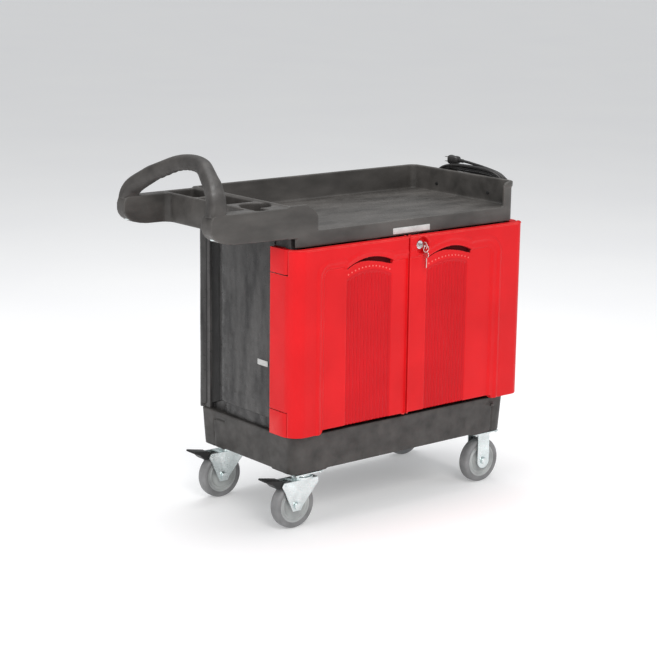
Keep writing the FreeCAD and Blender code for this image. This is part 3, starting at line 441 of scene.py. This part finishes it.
def door_depth(door, x, z):
    """How far the moulded front lies behind its highest face, in millimetres."""
    sign = door["sign"]
    ridge_out, ridge_in = door["ridge"]
    first, last = door["slot"]
    inside = np.clip(x, first, last)
    arch = door["arch"](inside)
    over_slot = ease((x - first + 14) / 14) * ease((last + 14 - x) / 14)
    top = 698 * (1 - over_slot) + (arch + 1.5) * over_slot
    from_side = (x - ridge_in) * sign
    from_top = top - z
    bend = 26.0
    near = np.sqrt(np.clip(bend - from_side, 0, None) ** 2
                   + np.clip(bend - from_top, 0, None) ** 2)
    reach = np.where((from_side < bend) & (from_top < bend), bend - near,
                     np.minimum(from_side, from_top))
    depth = 5.0 * ease(reach / 7.0)
    bead = np.abs(reach + abs(ridge_out - ridge_in)) / 10.0
    depth -= 3.4 * ease(1 - bead) * ease((reach + 60) / 30)
    # finger pull under its eyebrow
    along = (inside - first) / (last - first)
    thick = pull_thickness(along)
    middle = arch - thick / 2
    pull = ease((thick / 2 + 1.0 - np.abs(z - middle)) / 1.8)
    pull = pull * ease((x - first + 1) / 2.0) * ease((last + 1 - x) / 2.0)
    depth = np.maximum(depth, 15.0 * pull + depth * (1 - pull))
    brow = ease(1 - np.abs(z - arch - 6.5) / 7.0) * over_slot
    depth -= 1.0 * brow * (1 - pull)
    # vertical ribs below the row of dots
    low, high = door["ribs"]
    below = door["dot_arch"](np.clip(x, *door["dots"])) - 13 - z
    field = ease((x - low + 3) / 5) * ease((high + 3 - x) / 5) * ease(below / 6)
    pitch = (high - low) / 13.0
    wave = 0.5 + 0.5 * np.cos(2 * math.pi * (x - low) / pitch)
    depth += field * (0.9 + 2.8 * (1 - wave) ** 0.7)
    return depth


def door_piece(side):
    """Moulded door skin with its flanges, wrapped round the corner of the cabinet."""
    door = DOORS[side]
    sign = door["sign"]
    free = door["free"] if sign > 0 else 768 - door["free"]
    face, edge = -23.0, 3.5
    bend, wing = (42.0, -16.0) if side == "left" else (26.0, -30.0)
    turn_x = wing + bend
    plan = [((free, y), (1, 0), 3.0) for y in np.linspace(-3, face + edge, 8)]
    for i in range(1, 6):
        a = math.radians(90 * i / 5)
        plan.append(((free - edge + edge * math.cos(a), face + edge - edge * math.sin(a)),
                     (math.cos(a), -math.sin(a)), 3.0 + 15.0 * i / 5))
    count = int((free - edge - turn_x) / 1.35)
    plan += [((u, face), (0, -1), 18.0) for u in np.linspace(free - edge - 1, turn_x, count)]
    for i in range(1, 25):
        a = math.radians(90 * i / 24)
        plan.append(((turn_x - bend * math.sin(a), face + bend - bend * math.cos(a)),
                     (-math.sin(a), -math.cos(a)), 18.0 - 8.0 * i / 24))
    plan += [((wing, y), (-1, 0), 10.0) for y in np.linspace(face + bend + 2, 78, 30)]
    spots = np.array([p for p, n, o in plan])
    normals = np.array([n for p, n, o in plan])
    inset = np.array([o for p, n, o in plan])
    real_x = spots[:, 0] if sign > 0 else 768 - spots[:, 0]
    bottom = 268 - 10 * ease((84 - spots[:, 0]) / 10)
    top = 752.0
    rim = 3.5
    rows = [(1.0, 0.0, 0), (0.5, 0.0, 0)]
    rows += [(None, math.radians(90 * i / 5), 0) for i in range(6)]
    body_rows = 350
    rows += [(None, i / body_rows, 1) for i in range(1, body_rows)]
    rows += [(None, math.radians(90 * i / 5), 2) for i in range(6)]
    rows += [(0.5, 0.0, 2), (1.0, 0.0, 2)]
    verts = []
    for share, value, kind in rows:
        if kind == 1:
            z = bottom + rim + (top - bottom - 2 * rim) * value
            offset = np.zeros(len(plan))
        elif share is not None:
            z = bottom if kind == 0 else np.full(len(plan), top)
            offset = rim + (inset - rim).clip(0) * share
        elif kind == 0:
            z = bottom + rim * (1 - math.cos(value))
            offset = np.full(len(plan), rim * (1 - math.sin(value)))
        else:
            z = np.full(len(plan), top - rim * (1 - math.sin(math.pi / 2 - value)))
            offset = np.full(len(plan), rim * (1 - math.cos(value)))
        front = normals[:, 1] < -0.99
        depth = np.zeros(len(plan))
        if kind == 1 or share is None:
            moulded_depth = door_depth(door, real_x, z)
            if side == "right":
                r = np.hypot(real_x - 417.5, z - 724.5)
                dish = ease((22.5 - r) / 2.0)
                moulded_depth = moulded_depth * (1 - dish) + 14.6 * dish
                moulded_depth -= 0.8 * ease(1 - np.abs(r - 25.5) / 3.0)
            fade = ease((real_x * sign - door["free"] * sign + 0.0) / -4.0)
            fade = fade * ease((z - bottom - 0.0) / 2.0 + 0.6) * ease((top - z) / 3.0)
            depth = np.where(front, moulded_depth * fade, 0.0)
        spot = spots - normals * (offset + depth)[:, None]
        x = spot[:, 0] if sign > 0 else 768 - spot[:, 0]
        verts += [at(a, b, c) for a, b, c in zip(x, spot[:, 1], z)]
    wide = len(plan)
    faces = []
    for r in range(len(rows) - 1):
        for c in range(wide - 1):
            middle_y = (spots[c][1] + spots[c + 1][1]) / 2
            z = verts[r * wide + c].z * 1000
            in_wing = normals[c][1] > -0.85 and middle_y > 5.5
            if in_wing and (z < 258 + 67.0 or z > 752 - 68.0):
                continue
            quad = (r * wide + c, r * wide + c + 1, (r + 1) * wide + c + 1, (r + 1) * wide + c)
            faces.append(quad if sign > 0 else quad[::-1])
    piece = from_mesh("door_" + side + "_skin", verts, faces)
    work = bmesh.new()
    work.from_mesh(piece.data)
    loose = [v for v in work.verts if not v.link_faces]
    bmesh.ops.delete(work, geom=loose, context="VERTS")
    work.to_mesh(piece.data)
    work.free()
    center = sum((p.normal for p in piece.data.polygons[:]), Vector())
    if center.y > 0:
        piece.data.flip_normals()
    wall = piece.modifiers.new("Wall", "SOLIDIFY")
    wall.thickness = 0.003
    wall.offset = -1
    wall.use_even_offset = False
    bake(piece)
    finish_piece(piece, "red", "door_" + side, 60)
    shade_pull(piece, door)
    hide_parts("door_" + side)
    door_dots(side, door)
    return piece


def shade_pull(piece, door):
    """Painted shadow inside the finger pull, and a darker red painted as shade over the ribbed
    field below it.
    """
    piece.data.materials.append(MATERIALS["red_pull_painted_shadow"])
    piece.data.materials.append(MATERIALS["red_rib_painted_shade"])
    low, high = door["ribs"]
    first, last = door["slot"]
    for face in piece.data.polygons:
        x = (face.center.x - base_low.x) * 1000
        z = face.center.z * 1000
        deep = (face.center.y - base_low.y) * 1000 + 23
        along = (x - first) / (last - first)
        # painted shade: the ribbed field gets a darker red that stands in for the shade of its
        # grooves
        if low < x < high and deep < 10 and z < float(door["dot_arch"](x)) - 8:
            face.material_index = 2
        # painted shadow: near-black red inside the finger pull's mouth, where its brow shades it
        if 0 < along < 1 and deep > 5.5:
            arch = float(door["arch"](x))
            if arch - float(pull_thickness(along)) - 2 < z < arch + 2:
                face.material_index = 1


def door_dots(side, door):
    """A row of small raised domes that follows the arch of the pull."""
    first, last = door["dots"]
    work = bmesh.new()
    for i in range(13):
        x = first + (last - first) * i / 12
        z = float(door["dot_arch"](x))
        deep = float(door_depth(door, np.array([x]), np.array([z]))[0])
        spot = at(x, -23 + deep + 0.1, z)
        bmesh.ops.create_uvsphere(work, u_segments=16, v_segments=10, radius=0.0023,
                                  matrix=Matrix.Translation(spot)
                                  @ Matrix.Diagonal((1, 0.8, 1, 1)))
    mesh = bpy.data.meshes.new("door_" + side + "_dots")
    work.to_mesh(mesh)
    work.free()
    piece = bpy.data.objects.new("door_" + side + "_dots", mesh)
    bpy.context.scene.collection.objects.link(piece)
    # painted highlight: the domes get a paler pink that stands in for the light they catch
    finish_piece(piece, "red_dot_painted_highlight", "door_" + side, 80)


# ---------------------------------------------------------------- tray, console, handle

def tray_piece():
    """Tray and console in one moulding, with softly rounded edges."""
    front, rear, right = -5, 419.5, 775.5
    body = solid("tray_console", prism(
        rounded_rect(-20, front, right, rear, (2, 26, 26, 2)), 755, 866))
    console = [(76, 833), (66, 847), (56, 855), (40, 862), (-246, 862), (-255, 857),
               (-260, 843), (-260, 825), (-257, 815), (-248, 804), (-233, 794), (-209, 788),
               (-188, 785.6), (-142, 784.5), (-80, 783), (-17, 782), (15, 781), (76, 781)]
    combine(body, solid("console", prism(console, front, rear, "XZ")), "UNION")
    rim = solid("rim", prism(rounded_rect(40, 30, right + 3, rear + 3, (2, 2, 28, 2)), 851, 866))
    combine(body, rim, "UNION")
    rim_front = solid("rim_front", prism(
        rounded_rect(740, front - 2.5, right + 3, 60, (4, 28, 2, 2)), 851, 865))
    combine(body, rim_front, "UNION")
    wells = [
        prism(rounded_rect(-12, 4, 767.5, 411.5, (16, 18, 18, 16)), 796, 900),
        prism([(40, 910), (40, 863), (56, 855), (66, 847), (76, 833), (76, 796), (733, 796),
               (733, 851), (737, 860), (747, 866), (747, 910)], -30, 40, "XZ"),
        prism(rounded_rect(57, 3, 767.5, 411.5, (6, 18, 18, 6)), 700, 788),
        prism([(-40, -30), (22, -30), (22, -5), (13, -4), (5, 0), (-0.5, 7), (-2.5, 16),
               (-2.5, 75), (-40, 75)], 700, 781),
        prism([(-40, 75), (4.6, 75), (4.6, 16), (8, 6), (16, 3), (49, 3), (49, 450), (-40, 450)],
              700, 781),
        prism(rounded_rect(-10, 3, 60, 411.5, (2, 2, 2, 2)), 700, 788),
        prism(rounded_rect(-300, 38, -121, 383, (2, 18, 18, 2)), 700, 900),
        prism(rounded_rect(-112, 4, -76, 84, (5, 3, 3, 5)), 806, 900),
        prism(rounded_rect(-111, 135, -25, 267, (8, 8, 8, 8)), 806, 900),
        prism(rounded_rect(-111, 275, -25, 410, (8, 8, 8, 8)), 806, 900),
        prism([(-62 + 41 * math.cos(a), 82 + 41 * math.sin(a))
               for a in np.linspace(0, 2 * math.pi, 64, endpoint=False)], 806, 900),
    ]
    for number, well in enumerate(wells):
        combine(body, solid(f"well{number}", well), "DIFFERENCE")
    melt(body, 2.3, 6)
    finish_piece(body, "tray", "cart", 60)
    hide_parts("top_tray")


def handle_piece():
    """Arched grip with flared feet and finger ridges on its inner side."""
    # distance from the middle of the arch, height, and how far it lies from the feet's line
    profile = [(195.5, 853, -234.5), (195.5, 862, -233.5), (193, 874, -230), (185.5, 886, -225),
               (175.5, 895, -220), (164.5, 903, -213), (154, 910, -209), (144, 916, -204.5),
               (135.5, 923, -200), (111.5, 933, -192), (89.5, 943, -183), (69.5, 952, -175),
               (50, 958, -168), (32, 961, -165), (15, 962.5, -163.2), (0, 963, -163)]
    half = np.array(profile)
    other = half[::-1][1:].copy()
    other[:, 0] *= -1
    line = np.vstack([half, other])
    knots = np.concatenate([[0], np.cumsum(np.linalg.norm(np.diff(line, axis=0), axis=1))])
    steps = 150
    where = np.linspace(0, knots[-1], steps)
    smooth = np.array([np.interp(where, knots, line[:, k]) for k in range(3)]).T
    for _ in range(10):
        inner = (smooth[:-2] + 2 * smooth[1:-1] + smooth[2:]) / 4
        smooth[1:-1] = inner
    center = 207.4
    verts = []
    segments = 40
    total = knots[-1]
    for i in range(steps):
        spread_y, z, x = smooth[i]
        y = center - spread_y
        before, after = smooth[max(i - 1, 0)], smooth[min(i + 1, steps - 1)]
        along = Vector((after[2] - before[2], before[0] - after[0], after[1] - before[1]))
        along.normalize()
        across = Vector((1, 0, 0))
        across = (across - along * across.dot(along)).normalized()
        other_way = along.cross(across)
        s = where[i]
        foot = max(0.0, 1 - min(s, total - s) / 52.0)
        flare = foot ** 1.6
        leg = max(0.0, 1 - min(s, total - s) / 170.0)
        wide = 20.5 + 4.6 * leg + 0.4 * flare
        deep = 20.5 - 4.5 * flare
        from_top = abs(s - total / 2)
        grip = float(ease(np.array((150 - from_top) / 25)))
        for k in range(segments):
            angle = 2 * math.pi * k / segments
            c, n = math.cos(angle), math.sin(angle)
            power = 2.35 + 0.9 * leg
            r = (abs(c) ** power + abs(n) ** power) ** (-1 / power)
            ridge = 0.0
            below = max(0.0, n) ** 1.5
            if grip > 0:
                ridge = grip * below * 1.7 * (0.5 + 0.5 * math.cos(2 * math.pi * from_top / 22))
            a = wide * c * r
            b = (deep - ridge) * n * r
            spot = Vector((x, y, z)) + across * a + other_way * b
            verts.append(at(*spot))
    faces = []
    for i in range(steps - 1):
        for k in range(segments):
            n = (k + 1) % segments
            faces.append((i * segments + k, i * segments + n,
                          (i + 1) * segments + n, (i + 1) * segments + k))
    faces.append(tuple(range(segments)))
    faces.append(tuple((steps - 1) * segments + k for k in range(segments))[::-1])
    piece = solid("push_handle_grip", (verts, faces))
    finish_piece(piece, "black", "cart", 60)
    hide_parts("push_handle")


# ---------------------------------------------------------------- cord and plug

def cord_line():
    """Route of the whole cord: the lead, the turns of the coil, and the tail to the plug."""
    gland = [(785, 146, 652), (785, 146, 684), (786, 144, 716), (787.5, 135, 744),
             (788.5, 114, 765), (788.5, 92, 781)]
    points = [at(*p) for p in gland]
    center_x, center_y, center_z = 805.5, 195.0, 826.0
    # how far each turn lies across the bundle, and in from its outer edge
    places = [(-17.0, 4.5), (-8.4, 4.5), (-14.0, 13.0), (-7.0, 21.3), (4.0, 12.0), (0.5, 4.5)]
    start, stop = 1.0, 10 * math.pi + 2.45
    steps = int((stop - start) / (2 * math.pi) * 28)
    for i in range(1, steps + 1):
        angle = start + (stop - start) * i / steps
        turn = (angle - 0.9) / (2 * math.pi)
        whole = min(int(turn), 4)
        move = float(ease(np.array((turn - whole - 0.55) / 0.45)))
        side = places[whole][0] + (places[whole + 1][0] - places[whole][0]) * move
        inward = places[whole][1] + (places[whole + 1][1] - places[whole][1]) * move
        wander = 0.5 * math.sin(3 * angle + whole)
        blunt = 1 + (0.4 + 0.0145 * max(inward - 4.5, 0)) * math.sin(angle) ** 2
        points.append(at(center_x + side,
                         center_y - (150 - inward + wander) * math.sin(angle),
                         center_z - (60 - inward + wander) * math.cos(angle) * blunt))
    points += [at(806, 168, 884.5), at(806, 190, 886.5), at(806, 208, 888.5),
               at(805.5, 225, 890.5), at(805.5, 242, 891)]
    return points


def tube_curve(name, points, radius, look, body):
    data = bpy.data.curves.new(name, "CURVE")
    data.dimensions = "3D"
    data.bevel_depth = radius
    data.bevel_resolution = 5
    data.resolution_u = 6
    data.use_fill_caps = True
    line = data.splines.new("NURBS")
    line.points.add(len(points) - 1)
    for knot, spot in zip(line.points, points):
        knot.co = (*spot, 1)
    line.order_u = 3
    line.use_endpoint_u = True
    piece = bpy.data.objects.new(name, data)
    bpy.context.scene.collection.objects.link(piece)
    data.materials.append(MATERIALS[look])
    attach(piece, body)
    return piece


def line_length(piece):
    """Length of a curve's own line, measured on its evaluated points."""
    data = piece.data.copy()
    data.bevel_depth = 0
    bare = bpy.data.objects.new("bare", data)
    bpy.context.scene.collection.objects.link(bare)
    bpy.context.view_layer.update()
    mesh = bpy.data.meshes.new_from_object(
        bare.evaluated_get(bpy.context.evaluated_depsgraph_get()))
    spots = [v.co.copy() for v in mesh.vertices]
    bpy.data.objects.remove(bare)
    return sum((b - a).length for a, b in zip(spots, spots[1:]))


def lathe(name, center, axis, profile, segments=64):
    """Turned piece: profile is (distance along axis, radius) in millimetres."""
    along = Vector(axis).normalized()
    across = along.orthogonal().normalized()
    other = along.cross(across)
    verts = []
    for offset, radius in profile:
        for k in range(segments):
            a = 2 * math.pi * k / segments
            spot = Vector(center) + along * offset + (across * math.cos(a)
                                                      + other * math.sin(a)) * radius
            verts.append(at(*spot))
    faces = []
    for i in range(len(profile) - 1):
        for k in range(segments):
            n = (k + 1) % segments
            faces.append((i * segments + k, i * segments + n, (i + 1) * segments + n,
                          (i + 1) * segments + k))
    closed = profile[0] == profile[-1]
    if not closed:
        faces.append(tuple(range(segments)))
        faces.append(tuple((len(profile) - 1) * segments + k for k in range(segments)))
    piece = from_mesh(name, verts, faces)
    if closed:
        work = bmesh.new()
        work.from_mesh(piece.data)
        bmesh.ops.remove_doubles(work, verts=work.verts, dist=0.00001)
        work.to_mesh(piece.data)
        work.free()
    recalc(piece)
    return piece


def plug_piece():
    """Moulded plug with a waist, a flat grip and a ribbed sleeve."""
    center = (805.5, 0, 891)
    rings = [(239, 4.8, 4.8), (241, 5.4, 5.4)]
    for i in range(5):
        y = 242 + i * 3.2
        rings += [(y, 5.5, 5.5), (y + 1.2, 5.5, 5.5), (y + 1.4, 4.9, 4.9), (y + 2.9, 4.9, 4.9)]
    rings += [(258, 6.4, 6.2), (260, 9.4, 8.4), (264, 12.0, 10.8), (272, 12.6, 11.8),
              (280, 11.2, 11.0), (287, 12.2, 12.2), (293, 13.0, 13.0), (294.4, 12.4, 12.4),
              (295, 10.6, 10.6)]
    segments = 36
    verts = []
    for y, wide, tall in rings:
        for k in range(segments):
            a = 2 * math.pi * k / segments
            c, n = math.cos(a), math.sin(a)
            power = 2.0 if y < 258 else 3.0
            r = (abs(c) ** power + abs(n) ** power) ** (-1 / power)
            verts.append(at(center[0] + wide * c * r, y, center[2] + tall * n * r))
    faces = [(i * segments + k, i * segments + (k + 1) % segments,
              (i + 1) * segments + (k + 1) % segments, (i + 1) * segments + k)
             for i in range(len(rings) - 1) for k in range(segments)]
    faces.append(tuple(range(segments)))
    faces.append(tuple((len(rings) - 1) * segments + k for k in range(segments)))
    piece = solid("plug_moulding", (verts, faces))
    finish_piece(piece, "rubber", "cart", 40)
    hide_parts("plug_body")
    return piece


def power_cord():
    plug = plug_piece()
    blades = polish("plug_blades", "blade", 0.3, 2)
    cord = tube_curve("power_cord", cord_line(), 0.004, "rubber", "cart")
    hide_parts("cord_lead", "cord_coil")
    length = line_length(cord)
    print("cord length", round(length, 3))


# ---------------------------------------------------------------- cabinet and base

def left_panel():
    """End wall with a flat field, a hollow in front of the rear post and a raised foot line."""
    outline = [(84, 2.0), (86, 0.6), (90, 0.0), (150, -0.6), (230, -0.8), (290, 0.0), (306, 1.2),
               (318, 4.0), (328, 8.5), (338, 13.0), (350, 16.5), (362, 17.0), (374, 14.5),
               (384, 9.0), (391, 2.5), (395, -1.5), (400, -3.0), (408, -3.0), (411.5, -1.0)]
    ys = np.array([p[0] for p in outline], float)
    xs = np.array([p[1] for p in outline], float)
    fine_y = np.linspace(ys[0], ys[-1], 170)
    fine_x = np.interp(fine_y, ys, xs)
    for _ in range(4):
        fine_x[1:-1] = (fine_x[:-2] + 2 * fine_x[1:-1] + fine_x[2:]) / 4
    heights = np.concatenate([np.linspace(255, 300, 46), np.linspace(302, 784, 150)])
    verts = []
    for z in heights:
        for y, x in zip(fine_y, fine_x):
            foot = 287 - 24 * float(ease(np.array((y - 312) / 80)))
            tuck = 13.0 * (1 - float(ease(np.array((z - foot + 4) / 8))))
            tuck *= float(ease(np.array((404 - y) / 8)))
            wave = 0.5 * math.sin(y / 37.0 + z / 90.0) * math.sin(z / 61.0)
            verts.append(at(x + tuck + wave, y, z))
    wide = len(fine_y)
    faces = [(r * wide + c, r * wide + c + 1, (r + 1) * wide + c + 1, (r + 1) * wide + c)
             for r in range(len(heights) - 1) for c in range(wide - 1)]
    piece = from_mesh("left_end_skin", verts, faces)
    if sum((p.normal.x for p in piece.data.polygons)) > 0:
        piece.data.flip_normals()
    wall = piece.modifiers.new("Wall", "SOLIDIFY")
    wall.thickness = 0.004
    wall.offset = -1
    bake(piece)
    inner = solid("left_end_inner", cuboid((20, 20, 254), (26, 388, 785)))
    stile = solid("left_end_stile", cuboid((5, 20, 254), (26, 86, 785)))
    post = solid("left_end_post", cuboid((5, 376, 254), (26, 401, 785)))
    combine(inner, stile, "UNION")
    combine(inner, post, "UNION")
    bevel = inner.modifiers.new("Bevel", "BEVEL")
    bevel.width = 0.002
    bevel.segments = 3
    bake(inner)
    finish_piece(inner, "panel", "cart", 40)
    finish_piece(piece, "panel", "cart", 50)
    # painted shade: faces in the hollow in front of the rear post get a darker material where
    # shade falls
    piece.data.materials.append(MATERIALS["panel_painted_shade"])
    for face in piece.data.polygons:
        y = (face.center.y - base_low.y) * 1000
        if 337 < y < 391:
            face.material_index = 1
    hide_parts("left_end_panel")


def base_piece():
    """Lower shelf with a slanted skirt, a stepped lower edge and grooves near the corners."""
    piece = copy_node("base_shelf", "base_moulding")
    work = bmesh.new()
    work.from_mesh(piece.data)
    bmesh.ops.remove_doubles(work, verts=work.verts, dist=0.00002)
    work.to_mesh(piece.data)
    work.free()

    def skirt(z):
        return (SKIRT_TOP - z) * math.tan(math.radians(SKIRT_SLOPE))

    def slanted(deep, low, high):
        return [(-8, low), (skirt(low) + deep, low), (skirt(high) + deep, high), (-8, high)]

    grooves = [prism(slanted(3.4, 140, 232), 350, 355, "XZ"),
               prism(slanted(3.4, 231, 236), 300, 346, "XZ"),
               prism(slanted(3.4, 227, 234), 342, 352, "XZ"),
               prism(slanted(3.2, 140, 232), 717, 721.5, "YZ"),
               prism(slanted(3.2, 228, 236), 708, 719, "YZ"),
               prism(slanted(3.2, 234, 239), 690, 710, "YZ"),
               cuboid((120, -8, 144), (640, 420, 153.5)),
               cuboid((-8, 95, 144), (800, 310, 153.5))]
    for number, groove in enumerate(grooves):
        combine(piece, solid(f"groove{number}", groove), "DIFFERENCE")
    melt(piece, 2.2, 3)
    rear = at(0, 380, 0).y
    for vert in piece.data.vertices:
        if vert.co.y > rear:
            vert.co.y += REAR_GROWTH * min((vert.co.y - rear) / REAR_FADE, 1.0)
    finish_piece(piece, "black", "cart", 60)
    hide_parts("base_shelf")


# ---------------------------------------------------------------- casters

def wheel_pieces(label):
    low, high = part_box("tyre_" + label)
    middle = (low + high) / 2
    center = ((middle.x - base_low.x) * 1000, (middle.y - base_low.y) * 1000, middle.z * 1000)
    body = label + "_wheel"
    tread = [(-13, 47), (-14.2, 49), (-15.2, 52), (-15.6, 55.5), (-15.0, 58.6), (-13.2, 61),
             (-10, 62.6), (-5, 63.4), (0, 63.5), (5, 63.4), (10, 62.6), (13.2, 61),
             (15.0, 58.6), (15.6, 55.5), (15.2, 52), (14.2, 49), (13, 47)]
    tyre = lathe("tyre_moulding_" + label, center, (0, 1, 0), tread + [tread[0]], 96)
    finish_piece(tyre, "tyre", body, 50)
    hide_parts("tyre_" + label)
    hub = [(-17, 6.2), (-17, 12.4), (-16.4, 13), (-10, 13.6), (-8.2, 16), (-7.4, 20), (-7.0, 27),
           (-8.0, 31), (-10.0, 33.5), (-11.6, 35), (-11.8, 38), (-10.6, 39.5), (-10.6, 41.5),
           (-12.4, 43.5), (-13.4, 45.2), (-13.4, 47), (13.4, 47), (13.4, 45.2), (12.4, 43.5),
           (10.6, 41.5), (10.6, 39.5), (11.8, 38), (11.6, 35), (10.0, 33.5), (8.0, 31),
           (7.0, 27), (7.4, 20), (8.2, 16), (10, 13.6), (16.4, 13), (17, 12.4), (17, 6.2),
           (-17, 6.2)]
    core = lathe("hub_moulding_" + label, center, (0, 1, 0), hub, 96)
    finish_piece(core, "hub", body, 35)
    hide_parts("hub_" + label)


def casters():
    for label in ("front_swivel", "rear_swivel", "front_rigid", "rear_rigid"):
        wheel_pieces(label)
        polish("axle_" + label, "zinc", 1.0, 2)
    for label in ("front_swivel", "rear_swivel"):
        polish("fork_" + label, "zinc", 1.6, 3)
        polish("caster_plate_" + label, "zinc", 0.6, 2)
        paint("kingpin_" + label, "zinc")
        polish("brake_pedal_" + label, "pedal", 2.2, 3)
    for label in ("front_rigid", "rear_rigid"):
        polish("rigid_fork_" + label, "zinc", 1.2, 3)
    polish("caster_bolts", "zinc", 0.8, 2)


# ---------------------------------------------------------------- small hardware

def label_plate(name, spot, wide, tall, facing):
    """Plain generic plate with a raised border and no marks on it."""
    outline = rounded_rect(-wide / 2, -tall / 2, wide / 2, tall / 2, (2, 2, 2, 2))
    parts = []
    for grow, thick in ((0, 0.8), (-1.6, 1.2)):
        ring = [(a * (1 + 2 * grow / wide), b * (1 + 2 * grow / tall)) for a, b in outline]
        parts.append((ring, thick))
    x, y, z = spot
    rings = [[(a, b, 0) for a, b in parts[0][0]], [(a, b, parts[0][1]) for a, b in parts[0][0]],
             [(a, b, parts[1][1]) for a, b in parts[1][0]]]
    verts = []
    for ring in rings:
        for a, b, out in ring:
            verts.append(at(x + a, y - out, z + b) if facing == "front"
                         else at(x - out, y + a, z + b))
    count = len(outline)
    faces = [(r * count + k, r * count + (k + 1) % count, (r + 1) * count + (k + 1) % count,
              (r + 1) * count + k) for r in range(2) for k in range(count)]
    faces += [tuple(range(count)), tuple(2 * count + k for k in range(count))]
    piece = solid(name, (verts, faces))
    finish_piece(piece, "label", "cart", 30)


def hinge_block_piece(side, level):
    """Corner block, stopped short of the door's edge so that a groove runs between them."""
    name = f"hinge_block_{side}_{level}"
    piece = copy_node(name, name + "_detail")
    combine(piece, solid("trim", cuboid((-60, -60, 200), (828, BLOCK_FRONT, 800))), "DIFFERENCE")
    if side == "right":
        outer = at(775, 0, 0).x
        for vert in piece.data.vertices:
            if vert.co.x > outer:
                vert.co.x += RIGHT_WIDENING
    bevel = piece.modifiers.new("Bevel", "BEVEL")
    bevel.width = 0.0022
    bevel.segments = 4
    bevel.limit_method = "ANGLE"
    bevel.angle_limit = math.radians(35)
    bake(piece)
    finish_piece(piece, "red", "cart", 50)
    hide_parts(name)


def hardware():
    label_plate("front_label", (392, -5.0, 768), 130, 16, "front")
    label_plate("end_label", (-0.5, 128, 433), 44, 15, "left")
    for side in ("left", "right"):
        for level in ("upper", "lower"):
            hinge_block_piece(side, level)
        paint("hinge_pins_" + side, "blade")
        polish("catch_plate_" + side, "zinc", 0.8, 2)
    polish("door_catches", "outlet", 1.2, 3)
    polish("lock_keeper", "zinc", 0.6, 2)
    polish("right_end_panel", "panel", 2.0, 3)
    polish("rear_panel", "panel", 2.0, 3)
    polish("panel_screws", "zinc", 0.7, 2)
    polish("handle_bolts", "zinc", 0.8, 2)
    polish("hook_screws", "pedal", 0.8, 2)
    polish("cord_hooks", "black", 1.8, 4)
    polish("outlet_box", "outlet", 1.5, 3)
    polish("outlet_inserts", "insert", 0.5, 2)
    polish("rocker_switch", "insert", 0.7, 3)
    polish("strain_relief", "rubber", 0.8, 2)
    polish("lock_body", "chrome", 0.6, 3)
    polish("lock_plug", "chrome", 0.4, 2)
    polish("lock_nut", "zinc", 0.5, 2)
    polish("lock_cam", "zinc", 0.4, 2)
    polish("key_in_lock", "nickel", 0.35, 2)
    polish("spare_key", "nickel", 0.35, 2)
    paint("key_ring", "nickel")


# ---------------------------------------------------------------- studio

def studio():
    reach = FLOOR_REACH
    corners = [(-reach, -reach, 0), (reach, -reach, 0), (reach, reach, 0), (-reach, reach, 0)]
    floor = from_mesh("floor", corners, [(0, 1, 2, 3)])
    made, nodes, links, shader = new_material("floor_paper", (0.80, 0.80, 0.80), 0.8)
    clouds = noise(nodes, links, 1.1, 3.0)
    links.new(ramp(nodes, links, clouds, (0.79, 0.79, 0.80), (0.82, 0.82, 0.82)),
              shader.inputs["Base Color"])
    shader.inputs["Emission Color"].default_value = (1, 1, 1, 1)
    shader.inputs["Emission Strength"].default_value = FLOOR_GLOW
    shader.inputs["Specular IOR Level"].default_value = 0.2
    floor.data.materials.append(made)
    world = bpy.data.worlds.new("studio")
    world.use_nodes = True
    world.node_tree.nodes["Background"].inputs[0].default_value = (0.93, 0.95, 0.97, 1)
    world.node_tree.nodes["Background"].inputs[1].default_value = WORLD_GLOW
    bpy.context.scene.world = world
    bpy.context.scene.view_settings.view_transform = "Standard"
    area_light("key", (-1.6, -4.2, 3.6), (0, 0, 0.5), (2.2, 2.2), 108, (1, 0.98, 0.96))
    area_light("fill", (3.6, -3.6, 2.6), (0, 0, 0.5), (3.0, 3.0), 34, (0.95, 0.97, 1))
    area_light("top", (0.2, 0.6, 4.6), (0, 0, 0.6), (2.6, 2.6), 112)
    area_light("left", (-4.4, -0.6, 2.0), (-0.3, 0, 0.5), (1.6, 2.0), 40)


make_camera()
power_cord()
door_piece("left")
door_piece("right")
tray_piece()
handle_piece()
left_panel()
base_piece()
casters()
hardware()
studio()
